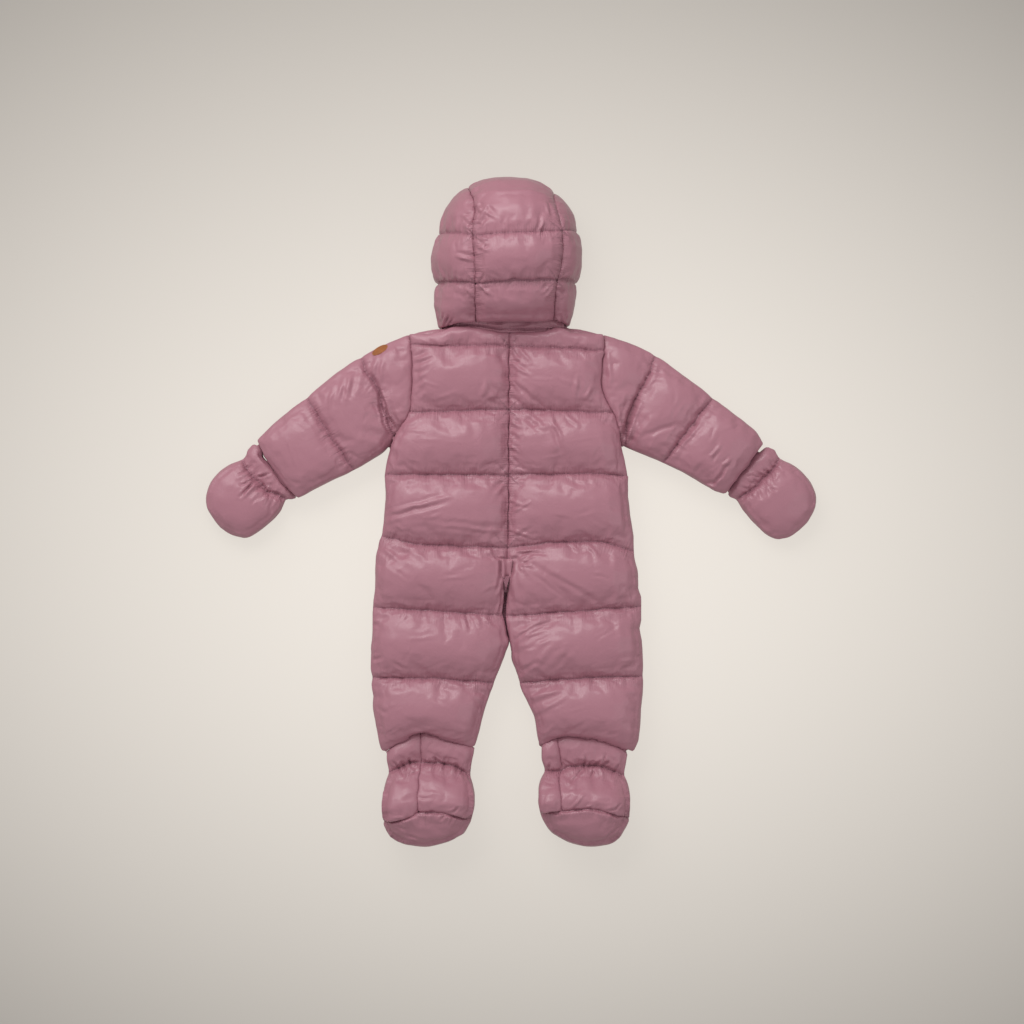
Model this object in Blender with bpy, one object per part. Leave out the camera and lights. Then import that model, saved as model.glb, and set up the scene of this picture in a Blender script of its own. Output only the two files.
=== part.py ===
"""Baby snowsuit, quilted, with hood, mittens and booties, laid face down with its back up.

Lengths are millimetres until a mesh is made, and each mesh is made in metres. +Z is up, +Y runs
from the feet to the hood, and the suit lies on the plane z = 0. Left and right are the wearer's,
so the left sleeve is at -X. Every laid panel is a padded wall: its inside is plain, at the height
where the two layers of the flat suit meet, and its outside carries the quilting.
"""

import math
from collections import namedtuple

import bmesh
import bpy
from mathutils import Vector
from mathutils.bvhtree import BVHTree

MM = 0.001
SEAM_INSET = 0.3  # each panel stops this far short of its seam line

# Heights above the surface at which the lower and the upper layer meet.
BODY_PLANE = 30.0
SLEEVE_PLANE = 24.0
MITTEN_PLANE = 15.0
LAYER_GAP = 0.3

# Fractions of a baffle, seam to seam, and of a panel, edge to edge, where the mesh has lines.
BAFFLE_STEPS = (0.0, 0.08, 0.22, 0.4, 0.6, 0.78, 0.92)
FEW_STEPS = (0.0, 0.1, 0.35, 0.65, 0.9)
HEEL_STEPS = (0.0, 0.12, 0.3, 0.5, 0.7, 0.88)
SHORT_STEPS = (0.0, 0.25, 0.5, 0.75)
WIDE_COLUMNS = (0.0, 0.02, 0.06, 0.13, 0.24, 0.38, 0.54, 0.7, 0.82, 0.91, 0.96, 0.99, 1.0)
PLAIN_COLUMNS = (0.0, 0.03, 0.1, 0.25, 0.5, 0.75, 0.9, 0.97, 1.0)

# A section is a line across a panel, from its inner to its outer edge. station counts quilt
# seams, so a whole number is a seam and a fraction only shapes the outline. height is the wall at
# the middle, inner and outer are the wall at the two edges, and puff is what the baffle after a
# seam adds. points is the line in plan.
Section = namedtuple("Section", "station height puff inner outer points")

# A fold is a soft trough pressed into a panel: its two ends in plan, its depth and its half width.
Fold = namedtuple("Fold", "start end depth half_width")

# A hood row: station, the face edges and the seams of the middle panel, each with x and y, the
# seams' height, the rise of the middle panel above them and its bow towards the forehead.
HoodRow = namedtuple("HoodRow",
                     "station left_edge left_seam right_seam right_edge height rise bow")

# How far a free edge swells out between seams, inside and outside, from a station on.
Scallop = namedtuple("Scallop", "inner outer after")

# An elastic line: its station, the waves across the panel, their depth and how far they fade.
Gathers = namedtuple("Gathers", "station count depth reach")

NO_SCALLOP = Scallop(0.0, 0.0, 0.0)
SCALLOP_FROM = 0.7  # a scallop begins this far from the middle of a panel towards its edge
GATHER_RISE = 8.0  # how steeply the waves of a gather grow from a panel's edges
FOLD_ENDS = 0.15  # a fold's depth at its ends, as a fraction of half a wave
THIN_EDGE = 1.6
GROOVE_PUFF = 2.5  # a baffle of the layer below, as a multiple of its groove

CLOTH = (0.40, 0.18, 0.22, 1.0)
CLOTH_DARK = (0.30, 0.12, 0.16, 1.0)
LEATHER = (0.45, 0.17, 0.04, 1.0)
ZIP_METAL = (0.35, 0.25, 0.27, 1.0)
METAL_ROUGH = 0.35
METAL_SHARE = 0.9
SHARP_ANGLE = math.radians(50)


# ---------------------------------------------------------------- curves

def smooth_between(before, start, end, after, t):
    """Hermite curve from start to end, each given as (key, vector), at the fraction t."""
    span = end[0] - start[0]
    tangent_start = (end[1] - before[1]) / (end[0] - before[0]) * span
    tangent_end = (after[1] - start[1]) / (after[0] - start[0]) * span
    t2 = t * t
    t3 = t2 * t
    return (
        (2 * t3 - 3 * t2 + 1) * start[1]
        + (t3 - 2 * t2 + t) * tangent_start
        + (3 * t2 - 2 * t3) * end[1]
        + (t3 - t2) * tangent_end
    )


def through(keyed, key):
    """The point at key on the smooth curve through (key, vector) pairs."""
    last = len(keyed) - 1
    index = 0
    while index < last - 1 and key > keyed[index + 1][0]:
        index += 1
    start, end = keyed[index], keyed[index + 1]
    before = keyed[max(index - 1, 0)]
    after = keyed[min(index + 2, last)]
    t = (key - start[0]) / (end[0] - start[0])
    return smooth_between(before, start, end, after, t)


def along(points, u):
    """The point at the fraction u of the length of a smooth line through points."""
    keyed = [(0.0, Vector(points[0]))]
    for point in points[1:]:
        step = (Vector(point) - keyed[-1][1]).length
        keyed.append((keyed[-1][0] + step, Vector(point)))
    return through(keyed, u * keyed[-1][0])


def even_columns(count):
    return tuple(index / count for index in range(count + 1))


def baffle(t):
    """The cross section of a filled baffle: steep at its seams and round on top."""
    return max(math.sin(math.pi * t), 0.0) ** 0.55


def crown(u, flatness=3.6):
    """How a panel swells from one edge to the other."""
    return (1.0 - abs(2.0 * u - 1.0) ** flatness) ** 0.62


# ---------------------------------------------------------------- meshes

def material(name, colour, roughness, metallic=0.0):
    made = bpy.data.materials.new(name)
    made.use_nodes = True
    shader = made.node_tree.nodes["Principled BSDF"]
    shader.inputs["Base Color"].default_value = colour
    shader.inputs["Roughness"].default_value = roughness
    shader.inputs["Metallic"].default_value = metallic
    return made


def add_object(name, points, faces, colour, roughness=0.4, metallic=0.0):
    """One closed node from points in millimetres, its faces turned outwards."""
    mesh = bpy.data.meshes.new(name)
    mesh.from_pydata([Vector(point) * MM for point in points], [], faces)
    work = bmesh.new()
    work.from_mesh(mesh)
    bmesh.ops.recalc_face_normals(work, faces=work.faces)
    bmesh.ops.triangulate(work, faces=work.faces)
    work.to_mesh(mesh)
    work.free()
    mesh.shade_smooth()
    mesh.set_sharp_from_angle(angle=SHARP_ANGLE)
    node = bpy.data.objects.new(name, mesh)
    bpy.context.scene.collection.objects.link(node)
    mesh.materials.append(material(name, colour, roughness, metallic))
    return node


def rim_of(rows, columns):
    """The indices round the edge of a grid that is stored row by row."""
    first = [column for column in range(columns)]
    right = [row * columns + columns - 1 for row in range(1, rows)]
    last = [(rows - 1) * columns + column for column in range(columns - 2, -1, -1)]
    left = [row * columns for row in range(rows - 2, 0, -1)]
    return first + right + last + left


def grid_faces(rows, columns, offset=0):
    faces = []
    for row in range(rows - 1):
        for column in range(columns - 1):
            corner = offset + row * columns + column
            faces.append((corner, corner + 1, corner + columns + 1, corner + columns))
    return faces


def wall(name, outer, inner, rows, columns, colour):
    """A wall between two grids of points, closed round its edge."""
    total = rows * columns
    faces = grid_faces(rows, columns) + grid_faces(rows, columns, total)
    rim = rim_of(rows, columns)
    for index, start in enumerate(rim):
        end = rim[(index + 1) % len(rim)]
        faces.append((start, end, end + total, start + total))
    return add_object(name, outer + inner, faces, colour)


def slab(name, outer, plane, rows, columns, colour):
    """A wall between a grid of points and one plain face at the height plane."""
    rim = rim_of(rows, columns)
    total = rows * columns
    points = list(outer)
    for index in rim:
        points.append(Vector((outer[index].x, outer[index].y, plane)))
    faces = grid_faces(rows, columns)
    for index, start in enumerate(rim):
        following = (index + 1) % len(rim)
        faces.append((start, rim[following], total + following, total + index))
    faces.append(tuple(total + index for index in range(len(rim))))
    return add_object(name, points, faces, colour)


# ---------------------------------------------------------------- laid panels

def stations_of(sections, steps, short_baffles=()):
    """Where a panel has mesh lines: each baffle is cut at the same fractions."""
    first = int(sections[0].station)
    last = int(sections[-1].station)
    stations = []
    for seam in range(first, last):
        fractions = SHORT_STEPS if seam in short_baffles else steps
        stations += [seam + fraction for fraction in fractions]
    return stations + [float(last)]


def inset(grid, rows, columns):
    """Draws the edge of a plan grid in by SEAM_INSET, so that neighbours stay apart."""
    moved = [point.copy() for point in grid]
    for row in range(rows):
        for column, inward in ((0, 1), (columns - 1, columns - 2)):
            here = row * columns + column
            towards = (grid[row * columns + inward] - grid[here]).normalized()
            moved[here] += towards * SEAM_INSET
    for column in range(columns):
        for row, inward in ((0, 1), (rows - 1, rows - 2)):
            here = row * columns + column
            towards = (grid[inward * columns + column] - grid[here]).normalized()
            moved[here] += towards * SEAM_INSET
    return moved


def fold_depth(folds, point):
    """How deep the folds press a panel in at a point of its plan."""
    depth = 0.0
    for fold in folds:
        start = Vector(fold.start)
        run = Vector(fold.end) - start
        share = max(0.0, min(1.0, (point - start).dot(run) / run.length_squared))
        away = (point - start - run * share).length / fold.half_width
        along_fold = FOLD_ENDS + (1.0 - 2.0 * FOLD_ENDS) * share
        depth += fold.depth * math.exp(-away * away) * math.sin(math.pi * along_fold)
    return depth


def panel_grid(sections, stations, columns, scallop, gathers, folds):
    """Plan points and wall heights of a panel, row by row."""
    edges = [(s.station, Vector((s.inner, s.outer))) for s in sections]
    middles = [(s.station, s.height) for s in sections]
    puffs = {int(s.station): s.puff for s in sections if s.station == int(s.station)}
    lengthways = []
    for u in columns:
        lengthways.append([(s.station, along(s.points, u)) for s in sections])
    plan = []
    heights = []
    for station in stations:
        seam = min(int(station), int(sections[-1].station) - 1)
        t = station - seam
        edge = through(edges, station)
        middle = through(middles, station) + puffs[seam] * baffle(t)
        row = [through(line, station) for line in lengthways]
        across = (row[-1] - row[0]).normalized()
        for u, point in zip(columns, row):
            side = edge[0] + (edge[1] - edge[0]) * u
            height = side + (middle - side) * crown(u)
            if gathers:
                fade = math.exp(-((station - gathers.station) / gathers.reach) ** 2)
                wave = math.cos(2.0 * math.pi * gathers.count * u)
                height += gathers.depth * fade * wave * min(1.0, GATHER_RISE * u * (1.0 - u))
            bulge = 0.0
            if station > scallop.after:
                beyond = max(0.0, abs(2.0 * u - 1.0) - SCALLOP_FROM)
                bulge = baffle(t) * beyond / (1.0 - SCALLOP_FROM)
            bulge *= scallop.outer if u > 0.5 else -scallop.inner
            plan.append(point + across * bulge)
            heights.append(max(height - fold_depth(folds, point), THIN_EDGE))
    return plan, heights


def upper_panel(name, sections, plane, columns=WIDE_COLUMNS, steps=BAFFLE_STEPS, short=(),
                scallop=NO_SCALLOP, gathers=None, folds=(), colour=CLOTH):
    """A padded wall of the upper layer: plain below at plane, quilted on top."""
    stations = stations_of(sections, steps, short)
    plan, heights = panel_grid(sections, stations, columns, scallop, gathers, folds)
    plan = inset(plan, len(stations), len(columns))
    low = plane + LAYER_GAP
    outer = [Vector((p.x, p.y, low + height)) for p, height in zip(plan, heights)]
    return slab(name, outer, low, len(stations), len(columns), colour)


def lower_panel(name, sections, plane, columns=PLAIN_COLUMNS, steps=BAFFLE_STEPS, short=(),
                scallop=NO_SCALLOP, colour=CLOTH):
    """A padded wall of the lower layer: plain above at plane, flat where it rests on z = 0."""
    stations = stations_of(sections, steps, short)
    plan, heights = panel_grid(sections, stations, columns, scallop, None, ())
    plan = inset(plan, len(stations), len(columns))
    outer = []
    for point, height in zip(plan, heights):
        outer.append(Vector((point.x, point.y, max(plane - height, 0.0))))
    return slab(name, outer, plane, len(stations), len(columns), colour)


def lying_under(sections, plane, groove, edge_from=math.inf):
    """The sections of the layer below: the same outline, with grooves where the quilting is.

    An edge that is at least edge_from thick above is sewn to a neighbour, and is as thick below.
    """
    full = plane - groove
    below = []
    for s in sections:
        inner = full if s.inner >= edge_from else s.inner
        outer = full if s.outer >= edge_from else s.outer
        below.append(Section(s.station, full, GROOVE_PUFF * groove, inner, outer, s.points))
    return below


# ---------------------------------------------------------------- back and front

# Each half of the back is one piece from the neck to the leg hem: the yoke, five baffles across
# the body and the seat, and two on the leg. The inner edge is the centre back seam, then the slit
# of the zip, then the inside leg; the outer edge is the armhole, then the side seam.
BACK_LEFT = (
    Section(0.0, 15, 5, 14, 11, ((-2.5, 214), (-30, 217.5), (-50, 221), (-66, 224), (-74, 226),
                                 (-83, 224.5), (-91, 218.5), (-122.5, 212))),
    Section(1.0, 13, 17, 11, 12, ((-2.5, 199), (-119, 199.5))),
    Section(1.35, 13, 0, 11, 13, ((-2.5, 175), (-117.5, 175))),
    Section(1.7, 13, 0, 11, 13, ((-2.5, 146), (-118.5, 146))),
    Section(2.0, 12, 20, 10, 12, ((-2.5, 122.5), (-121.5, 119))),
    Section(2.25, 12, 0, 10, 8, ((-2.5, 103), (-133.5, 100.5))),
    Section(2.5, 12, 0, 10, 4, ((-3, 83.5), (-143, 82))),
    Section(3.0, 12, 21, 10, 3, ((-3, 44), (-151.5, 44.5))),
    Section(4.0, 12, 21, 10, 3, ((-4, -43), (-61.5, -41), (-115.5, -38.5), (-155, -29))),
    Section(4.15, 12, 0, 9.5, 3, ((-5, -54), (-161, -46))),
    Section(4.44, 12, 0, 9, 3, ((-7, -79), (-163, -71))),
    Section(4.7, 12, 0, 8, 3, ((-9, -97.5), (-163, -91.5))),
    Section(5.0, 12, 21, 7, 3, ((-7.5, -124), (-115.5, -116.5), (-164.5, -114.5))),
    Section(5.35, 12, 0, 7, 3, ((-5, -154), (-167.5, -145.5))),
    Section(5.6, 12, 0, 4, 3, ((-9.5, -173), (-168.5, -164.5))),
    Section(6.0, 12, 19, 3, 3, ((-20.5, -204.5), (-92.5, -198.5), (-167.5, -198.5))),
    Section(6.5, 12, 0, 3, 3, ((-34, -241.5), (-165.5, -235.5))),
    Section(7.0, 13, 0, 3, 3, ((-42.5, -282.5), (-77, -272), (-94, -266.5), (-109.5, -263), (-122.5, -269),
                               (-136, -277), (-152.5, -287.5))),
)
BACK_RIGHT = (
    Section(0.0, 15, 5, 14, 11, ((-2.5, 214), (34.5, 215.5), (45, 217), (64, 223.5), (76, 218),
                                 (110.5, 212))),
    Section(1.0, 13, 17, 11, 12, ((-2.5, 199), (110.5, 193))),
    Section(1.35, 13, 0, 11, 13, ((-2.5, 175), (107.5, 170))),
    Section(1.7, 13, 0, 11, 13, ((-2.5, 146), (109, 140.5))),
    Section(2.0, 12, 20, 10, 12, ((-2.5, 122.5), (121.5, 118.5))),
    Section(2.25, 12, 0, 10, 9, ((-2.5, 103), (128, 100.5))),
    Section(2.5, 12, 0, 10, 7, ((-3, 83.5), (131, 82.5))),
    Section(3.0, 12, 21, 10, 3, ((-3, 44), (95.5, 45.5), (139, 43))),
    Section(4.0, 12, 21, 10, 3, ((-4, -43), (46.5, -36.5), (107.5, -35.5), (145.5, -47.5))),
    Section(4.44, 12, 0, 9, 3, ((-3, -79), (150.5, -73.5))),
    Section(4.7, 12, 0, 8, 3, ((-4, -97.5), (152, -91.5))),
    Section(5.0, 12, 21, 7, 3, ((-3, -124.5), (154.5, -113))),
    Section(5.35, 12, 0, 7, 3, ((-0.5, -154), (156.5, -143))),
    Section(5.6, 12, 0, 4, 3, ((1, -174.5), (157, -166))),
    Section(6.0, 12, 19, 3, 3, ((9.5, -204.5), (81.5, -198.5), (157.5, -196.5))),
    Section(6.5, 12, 0, 3, 3, ((26.5, -241.5), (155, -238))),
    Section(7.0, 13, 0, 3, 3, ((35, -279.5), (56, -269), (94.5, -270.5), (118.5, -277.5), (146, -287.5))),
)
BACK_LEFT_FOLDS = (
    Fold((-145.5, -0.5), (-73.5, 17.5), 4.0, 7.0),
    Fold((-157.5, -40), (-119, -60.5), 5.0, 7.0),
    Fold((-31.5, 212), (-85.5, 191.5), 3.0, 7.0),
)
BACK_RIGHT_FOLDS = (
    Fold((5.5, -58), (73, -108.5), 5.0, 7.0),
    Fold((4.5, -168.5), (58.5, -127.5), 5.0, 8.0),
    Fold((22.5, 119.5), (64.5, 68), 4.0, 7.0),
    Fold((4.5, -214), (64.5, -206.5), 3.5, 7.0),
)
BODY_SCALLOP = Scallop(2.0, 2.5, 5.5)
ZIP_CENTRE = -3.0
CHANNEL_HALF = 7.0
CHANNEL_EDGE = 14.0
CHANNEL_END = 5.5
FRONT_GROOVE = 5.0
FRONT_SEWN_EDGE = 9.0
FRONT_NECK = 226.5
FRONT_HEM = -283.5
NECK_CORNER = -3


def front_of(back, side):
    """The front half under a back half: same sides, a channel for the zip and a plain hem."""
    sections = []
    for s in lying_under(back, BODY_PLANE, FRONT_GROOVE, FRONT_SEWN_EDGE):
        points = [Vector(point) for point in s.points]
        inner = s.inner
        if s.station < CHANNEL_END:
            points[0].x = ZIP_CENTRE + side * CHANNEL_HALF
            inner = CHANNEL_EDGE
        if s.station == back[0].station:
            neck_side = Vector((points[NECK_CORNER].x, FRONT_NECK))
            points = [Vector((points[0].x, FRONT_NECK)), neck_side, points[-1]]
        if s.station == back[-1].station:
            points = [Vector((points[0].x, FRONT_HEM)), Vector((points[-1].x, FRONT_HEM))]
        sections.append(Section(s.station, s.height, s.puff, inner, s.outer, points))
    return sections


def body():
    upper_panel("back_left", BACK_LEFT, BODY_PLANE, short=(0,), scallop=BODY_SCALLOP,
                folds=BACK_LEFT_FOLDS)
    upper_panel("back_right", BACK_RIGHT, BODY_PLANE, short=(0,), scallop=BODY_SCALLOP,
                folds=BACK_RIGHT_FOLDS)
    lower_panel("front_left", front_of(BACK_LEFT, -1), BODY_PLANE, steps=FEW_STEPS, short=(0,))
    lower_panel("front_right", front_of(BACK_RIGHT, 1), BODY_PLANE, steps=FEW_STEPS, short=(0,))


# ---------------------------------------------------------------- sleeves

# From the armhole to the cuff, with the underarm as the inner edge and the overarm as the outer.
SLEEVE_LEFT = (
    Section(0.0, 18, 9, 7, 7, ((-133.5, 100.5), (-121.5, 119), (-118.5, 146), (-117.5, 175), (-119, 199.5),
                               (-122.5, 212))),
    Section(1.0, 12, 15, 3, 3, ((-140.5, 89.5), (-148, 109), (-155, 124.5), (-158.5, 146.5), (-172, 164),
                                (-180.5, 184.5))),
    Section(1.3, 12, 0, 3, 3, ((-150.5, 74.5), (-173, 124.5), (-198.5, 172.5))),
    Section(2.0, 12, 15, 3, 3, ((-188.5, 50.5), (-214, 86), (-245, 136.5))),
    Section(2.5, 12, 0, 3, 3, ((-222.5, 34.5), (-246.5, 73), (-276.5, 110.5))),
    Section(3.0, 10, 0, 5, 5, ((-256, 16.5), (-263, 23), (-278, 42), (-293, 62.5), (-301, 77),
                               (-305, 85.5))),
)
SLEEVE_RIGHT = (
    Section(0.0, 18, 9, 7, 7, ((131.5, 82.5), (129, 100.5), (122.5, 118.5), (109.5, 140.5), (107.5, 170),
                               (110.5, 193), (110.5, 212))),
    Section(1.0, 12, 15, 3, 3, ((136.5, 78.5), (138.5, 110), (147.5, 133), (157, 148.5), (166, 169),
                                (172.5, 187))),
    Section(1.35, 12, 0, 3, 3, ((153.5, 71), (170, 119.5), (200, 166))),
    Section(2.0, 12, 15, 3, 3, ((182, 59), (206, 91), (226.5, 117.5), (241.5, 136))),
    Section(2.5, 12, 0, 3, 3, ((220.5, 40.5), (244.5, 76.5), (273.5, 110))),
    Section(2.75, 11, 0, 4, 4, ((242.5, 26), (291, 97))),
    Section(3.0, 10, 0, 5, 5, ((257, 21.5), (302.5, 81.5))),
)
SLEEVE_LEFT_FOLDS = (
    Fold((-134.5, 95.5), (-167, 139), 6.0, 5.0),
    Fold((-144.5, 83.5), (-191, 110), 5.0, 6.0),
)
SLEEVE_RIGHT_FOLDS = (
    Fold((133, 86), (154.5, 137.5), 6.0, 5.0),
    Fold((140, 77.5), (193, 105.5), 5.0, 6.0),
    Fold((231.5, 31), (255.5, 59.5), 4.0, 6.0),
)
SLEEVE_SCALLOP = Scallop(0.0, 2.0, -1.0)
SLEEVE_GROOVE = 4.0


def sleeves():
    for side, sections, folds in (("left", SLEEVE_LEFT, SLEEVE_LEFT_FOLDS),
                                  ("right", SLEEVE_RIGHT, SLEEVE_RIGHT_FOLDS)):
        upper_panel("sleeve_" + side + "_upper", sections, SLEEVE_PLANE, scallop=SLEEVE_SCALLOP,
                    folds=folds)
        lower_panel("sleeve_" + side + "_under", lying_under(sections, SLEEVE_PLANE, SLEEVE_GROOVE),
                    SLEEVE_PLANE, steps=FEW_STEPS)


# ---------------------------------------------------------------- mittens

# From the cuff, over the elastic's gathers, to the tip, with no thumb.
MITTEN_LEFT = (
    Section(0.0, 9, 5, 4, 4, ((-258, 17), (-263, 23.2), (-277.6, 42), (-287.5, 55), (-296.5, 65),
                              (-300, 72), (-303.5, 78), (-311, 81.5))),
    Section(0.5, 9, 0, 4, 4, ((-265.5, 15), (-290.5, 40), (-318, 73.5))),
    Section(1.0, 7, 18, 3, 3, ((-272.5, 14.5), (-292.5, 23.5), (-307, 40), (-323, 63.5))),
    Section(1.3, 7, 0, 3, 3, ((-277.5, 2), (-311, 23.5), (-347.5, 52))),
    Section(1.55, 6, 0, 3, 3, ((-289, -10.5), (-325.5, 7), (-364.5, 30.5))),
    Section(1.78, 5, 0, 3, 3, ((-303.5, -23), (-335, -10), (-367.2, 8))),
    Section(1.92, 4, 0, 3, 3, ((-313.5, -29), (-335, -20.5), (-359.5, -6.5))),
    Section(2.0, 3, 0, 3, 3, ((-322, -31.5), (-336.5, -28), (-349.5, -19.5))),
)
MITTEN_RIGHT = (
    Section(0.0, 9, 5, 4, 4, ((261.5, 22), (280, 52.5), (307.5, 78.5))),
    Section(0.5, 9, 0, 4, 4, ((264.5, 17.5), (290.5, 45.5), (318, 74))),
    Section(1.0, 7, 18, 3, 3, ((272.5, 14), (301, 38), (323.5, 64))),
    Section(1.3, 7, 0, 3, 3, ((278.5, 3.5), (308, 26), (343, 54))),
    Section(1.55, 6, 0, 3, 3, ((288.5, -8), (322.5, 10.5), (361, 35))),
    Section(1.78, 5, 0, 3, 3, ((301.5, -22.5), (335.5, -7.5), (367.3, 11.5))),
    Section(1.92, 4, 0, 3, 3, ((312.5, -30), (337, -20.5), (359.5, -8))),
    Section(2.0, 3, 0, 3, 3, ((322.5, -33), (334.5, -30.5), (346.5, -22.5))),
)
MITTEN_GATHERS = Gathers(1.0, 8, 2.2, 0.28)
MITTEN_GROOVE = 3.0


def mittens():
    for side, sections in (("left", MITTEN_LEFT), ("right", MITTEN_RIGHT)):
        upper_panel("mitten_" + side + "_back", sections, MITTEN_PLANE, gathers=MITTEN_GATHERS,
                    columns=even_columns(2 * MITTEN_GATHERS.count), short=(0,))
        lower_panel("mitten_" + side + "_palm", lying_under(sections, MITTEN_PLANE, MITTEN_GROOVE),
                    MITTEN_PLANE, steps=FEW_STEPS, short=(0,))


# ---------------------------------------------------------------- booties

# The heel is in two halves, from the cuff under the leg hem, over the elastic, to the sole seam.
# The inner edge is the heel seam. The sole slopes down from there to the toe, and the instep
# lies below both.
HEEL_LEFT_OUTER = (
    Section(0.0, 9, 3, 8, 3, ((-109, -265), (-122.5, -270.5), (-136, -278), (-149, -288.5))),
    Section(0.5, 10, 0, 9, 3, ((-108.5, -282.5), (-149, -299))),
    Section(1.0, 6, 0, 5, 3, ((-108, -300.5), (-121.5, -300.5), (-131, -304.5), (-146.5, -313.5))),
    Section(1.2, 22, 0, 18, 3, ((-110, -312.5), (-151, -324.5))),
    Section(1.6, 42, 0, 38, 3, ((-111.5, -337.5), (-154.5, -349.5))),
    Section(2.0, 40, 0, 38, 3, ((-110.5, -358), (-125, -363.5), (-153, -371))),
)
HEEL_LEFT_INNER = (
    Section(0.0, 9, 3, 8, 3, ((-109, -265), (-94, -268), (-77, -273.5), (-44, -283.5))),
    Section(0.5, 10, 0, 9, 3, ((-108.5, -282.5), (-47, -299))),
    Section(1.0, 6, 0, 5, 3, ((-108, -300.5), (-85, -301.5), (-66.5, -305.5), (-49, -316))),
    Section(1.2, 22, 0, 18, 3, ((-110, -312.5), (-46, -326.5))),
    Section(1.6, 42, 0, 38, 3, ((-111.5, -337.5), (-43.5, -344.5))),
    Section(2.0, 40, 0, 38, 3, ((-110.5, -358), (-102.5, -356), (-77, -357.5), (-47.5, -367.5))),
)
SOLE_LEFT = (
    Section(0.0, 40, 0, 3, 3, ((-153, -371), (-125, -363.5), (-110.5, -358), (-102.5, -356), (-77, -357.5),
                               (-47.5, -367.5))),
    Section(0.35, 36, 0, 3, 3, ((-152.5, -374.5), (-104.5, -374.5), (-49.5, -372.5))),
    Section(0.65, 28, 0, 3, 3, ((-150.5, -380.5), (-104.5, -389), (-52.5, -378.5))),
    Section(0.88, 14, 0, 3, 3, ((-147.5, -385.5), (-104.5, -398), (-56.5, -384.5))),
    Section(1.0, 3, 0, 3, 3, ((-144.5, -389.5), (-133.5, -396.5), (-104.5, -401.5), (-74.5, -395),
                              (-61, -387.5))),
)
INSTEP_LEFT = (
    Section(0.0, 19, 0, 3, 3, ((-149, -284.5), (-44, -284.5))),
    Section(1.0, 15, 9, 3, 3, ((-146.5, -313.5), (-97.5, -313.5), (-49, -316))),
    Section(1.35, 24, 0, 3, 3, ((-154.5, -349.5), (-43.5, -344.5))),
    Section(1.6, 24, 0, 3, 3, ((-153, -371), (-47.5, -367.5))),
    Section(1.85, 20, 0, 3, 3, ((-149.5, -382), (-104.5, -391.5), (-53, -379.5))),
    Section(2.0, 4, 0, 3, 3, ((-144.5, -389.5), (-133.5, -396.5), (-104.5, -401.5), (-74.5, -395),
                              (-61, -387.5))),
)
HEEL_RIGHT_INNER = (
    Section(0.0, 9, 3, 8, 3, ((55.5, -271), (36.5, -281))),
    Section(0.5, 10, 0, 9, 3, ((57.5, -289.5), (36.5, -296.5))),
    Section(1.0, 6, 0, 5, 3, ((60.5, -310), (40, -311))),
    Section(1.2, 22, 0, 18, 3, ((56.5, -319.5), (34, -323))),
    Section(1.6, 42, 0, 38, 3, ((58.5, -337.5), (32.5, -342.5))),
    Section(2.0, 40, 0, 38, 3, ((60.5, -355), (45.5, -356.5), (34.5, -360.5))),
)
HEEL_RIGHT_OUTER = (
    Section(0.0, 9, 3, 8, 3, ((55.5, -271), (94.5, -271.5), (118.5, -279), (139.5, -289.5))),
    Section(0.5, 10, 0, 9, 3, ((57.5, -289.5), (137.5, -301.5))),
    Section(1.0, 6, 0, 5, 3, ((60.5, -310), (67, -306.5), (83.5, -304.5), (105.5, -304), (135.5, -316))),
    Section(1.2, 22, 0, 18, 3, ((56.5, -319.5), (140, -326.5))),
    Section(1.6, 42, 0, 38, 3, ((58.5, -337.5), (142.5, -344.5))),
    Section(2.0, 40, 0, 38, 3, ((60.5, -355), (92, -352), (112.5, -356), (141.5, -366.5))),
)
SOLE_RIGHT = (
    Section(0.0, 40, 0, 3, 3, ((34.5, -360.5), (45.5, -356.5), (60.5, -355), (92, -352), (112.5, -356),
                               (141.5, -366.5))),
    Section(0.35, 36, 0, 3, 3, ((37, -366.5), (94.5, -372.5), (139.5, -372.5))),
    Section(0.65, 28, 0, 3, 3, ((40.5, -373.5), (94.5, -388), (137, -378.5))),
    Section(0.88, 14, 0, 3, 3, ((46, -381.5), (95.5, -397.5), (133, -385.5))),
    Section(1.0, 3, 0, 3, 3, ((51.5, -386.5), (70.5, -396.5), (97, -401.5), (121, -397), (129.5, -391))),
)
INSTEP_RIGHT = (
    Section(0.0, 19, 0, 3, 3, ((36.5, -284.5), (139.5, -284.5))),
    Section(1.0, 15, 9, 3, 3, ((40, -311), (135.5, -316))),
    Section(1.35, 24, 0, 3, 3, ((32.5, -342.5), (142.5, -344.5))),
    Section(1.6, 24, 0, 3, 3, ((34.5, -360.5), (141.5, -366.5))),
    Section(1.85, 20, 0, 3, 3, ((41.5, -376), (94.5, -390.5), (136.5, -379.5))),
    Section(2.0, 4, 0, 3, 3, ((51.5, -386.5), (70.5, -396.5), (97, -401.5), (121, -397), (129.5, -391))),
)
WIDE_HEEL_GATHERS = Gathers(1.0, 5, 2.2, 0.22)
NARROW_HEEL_GATHERS = Gathers(1.0, 3, 2.2, 0.22)


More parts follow.
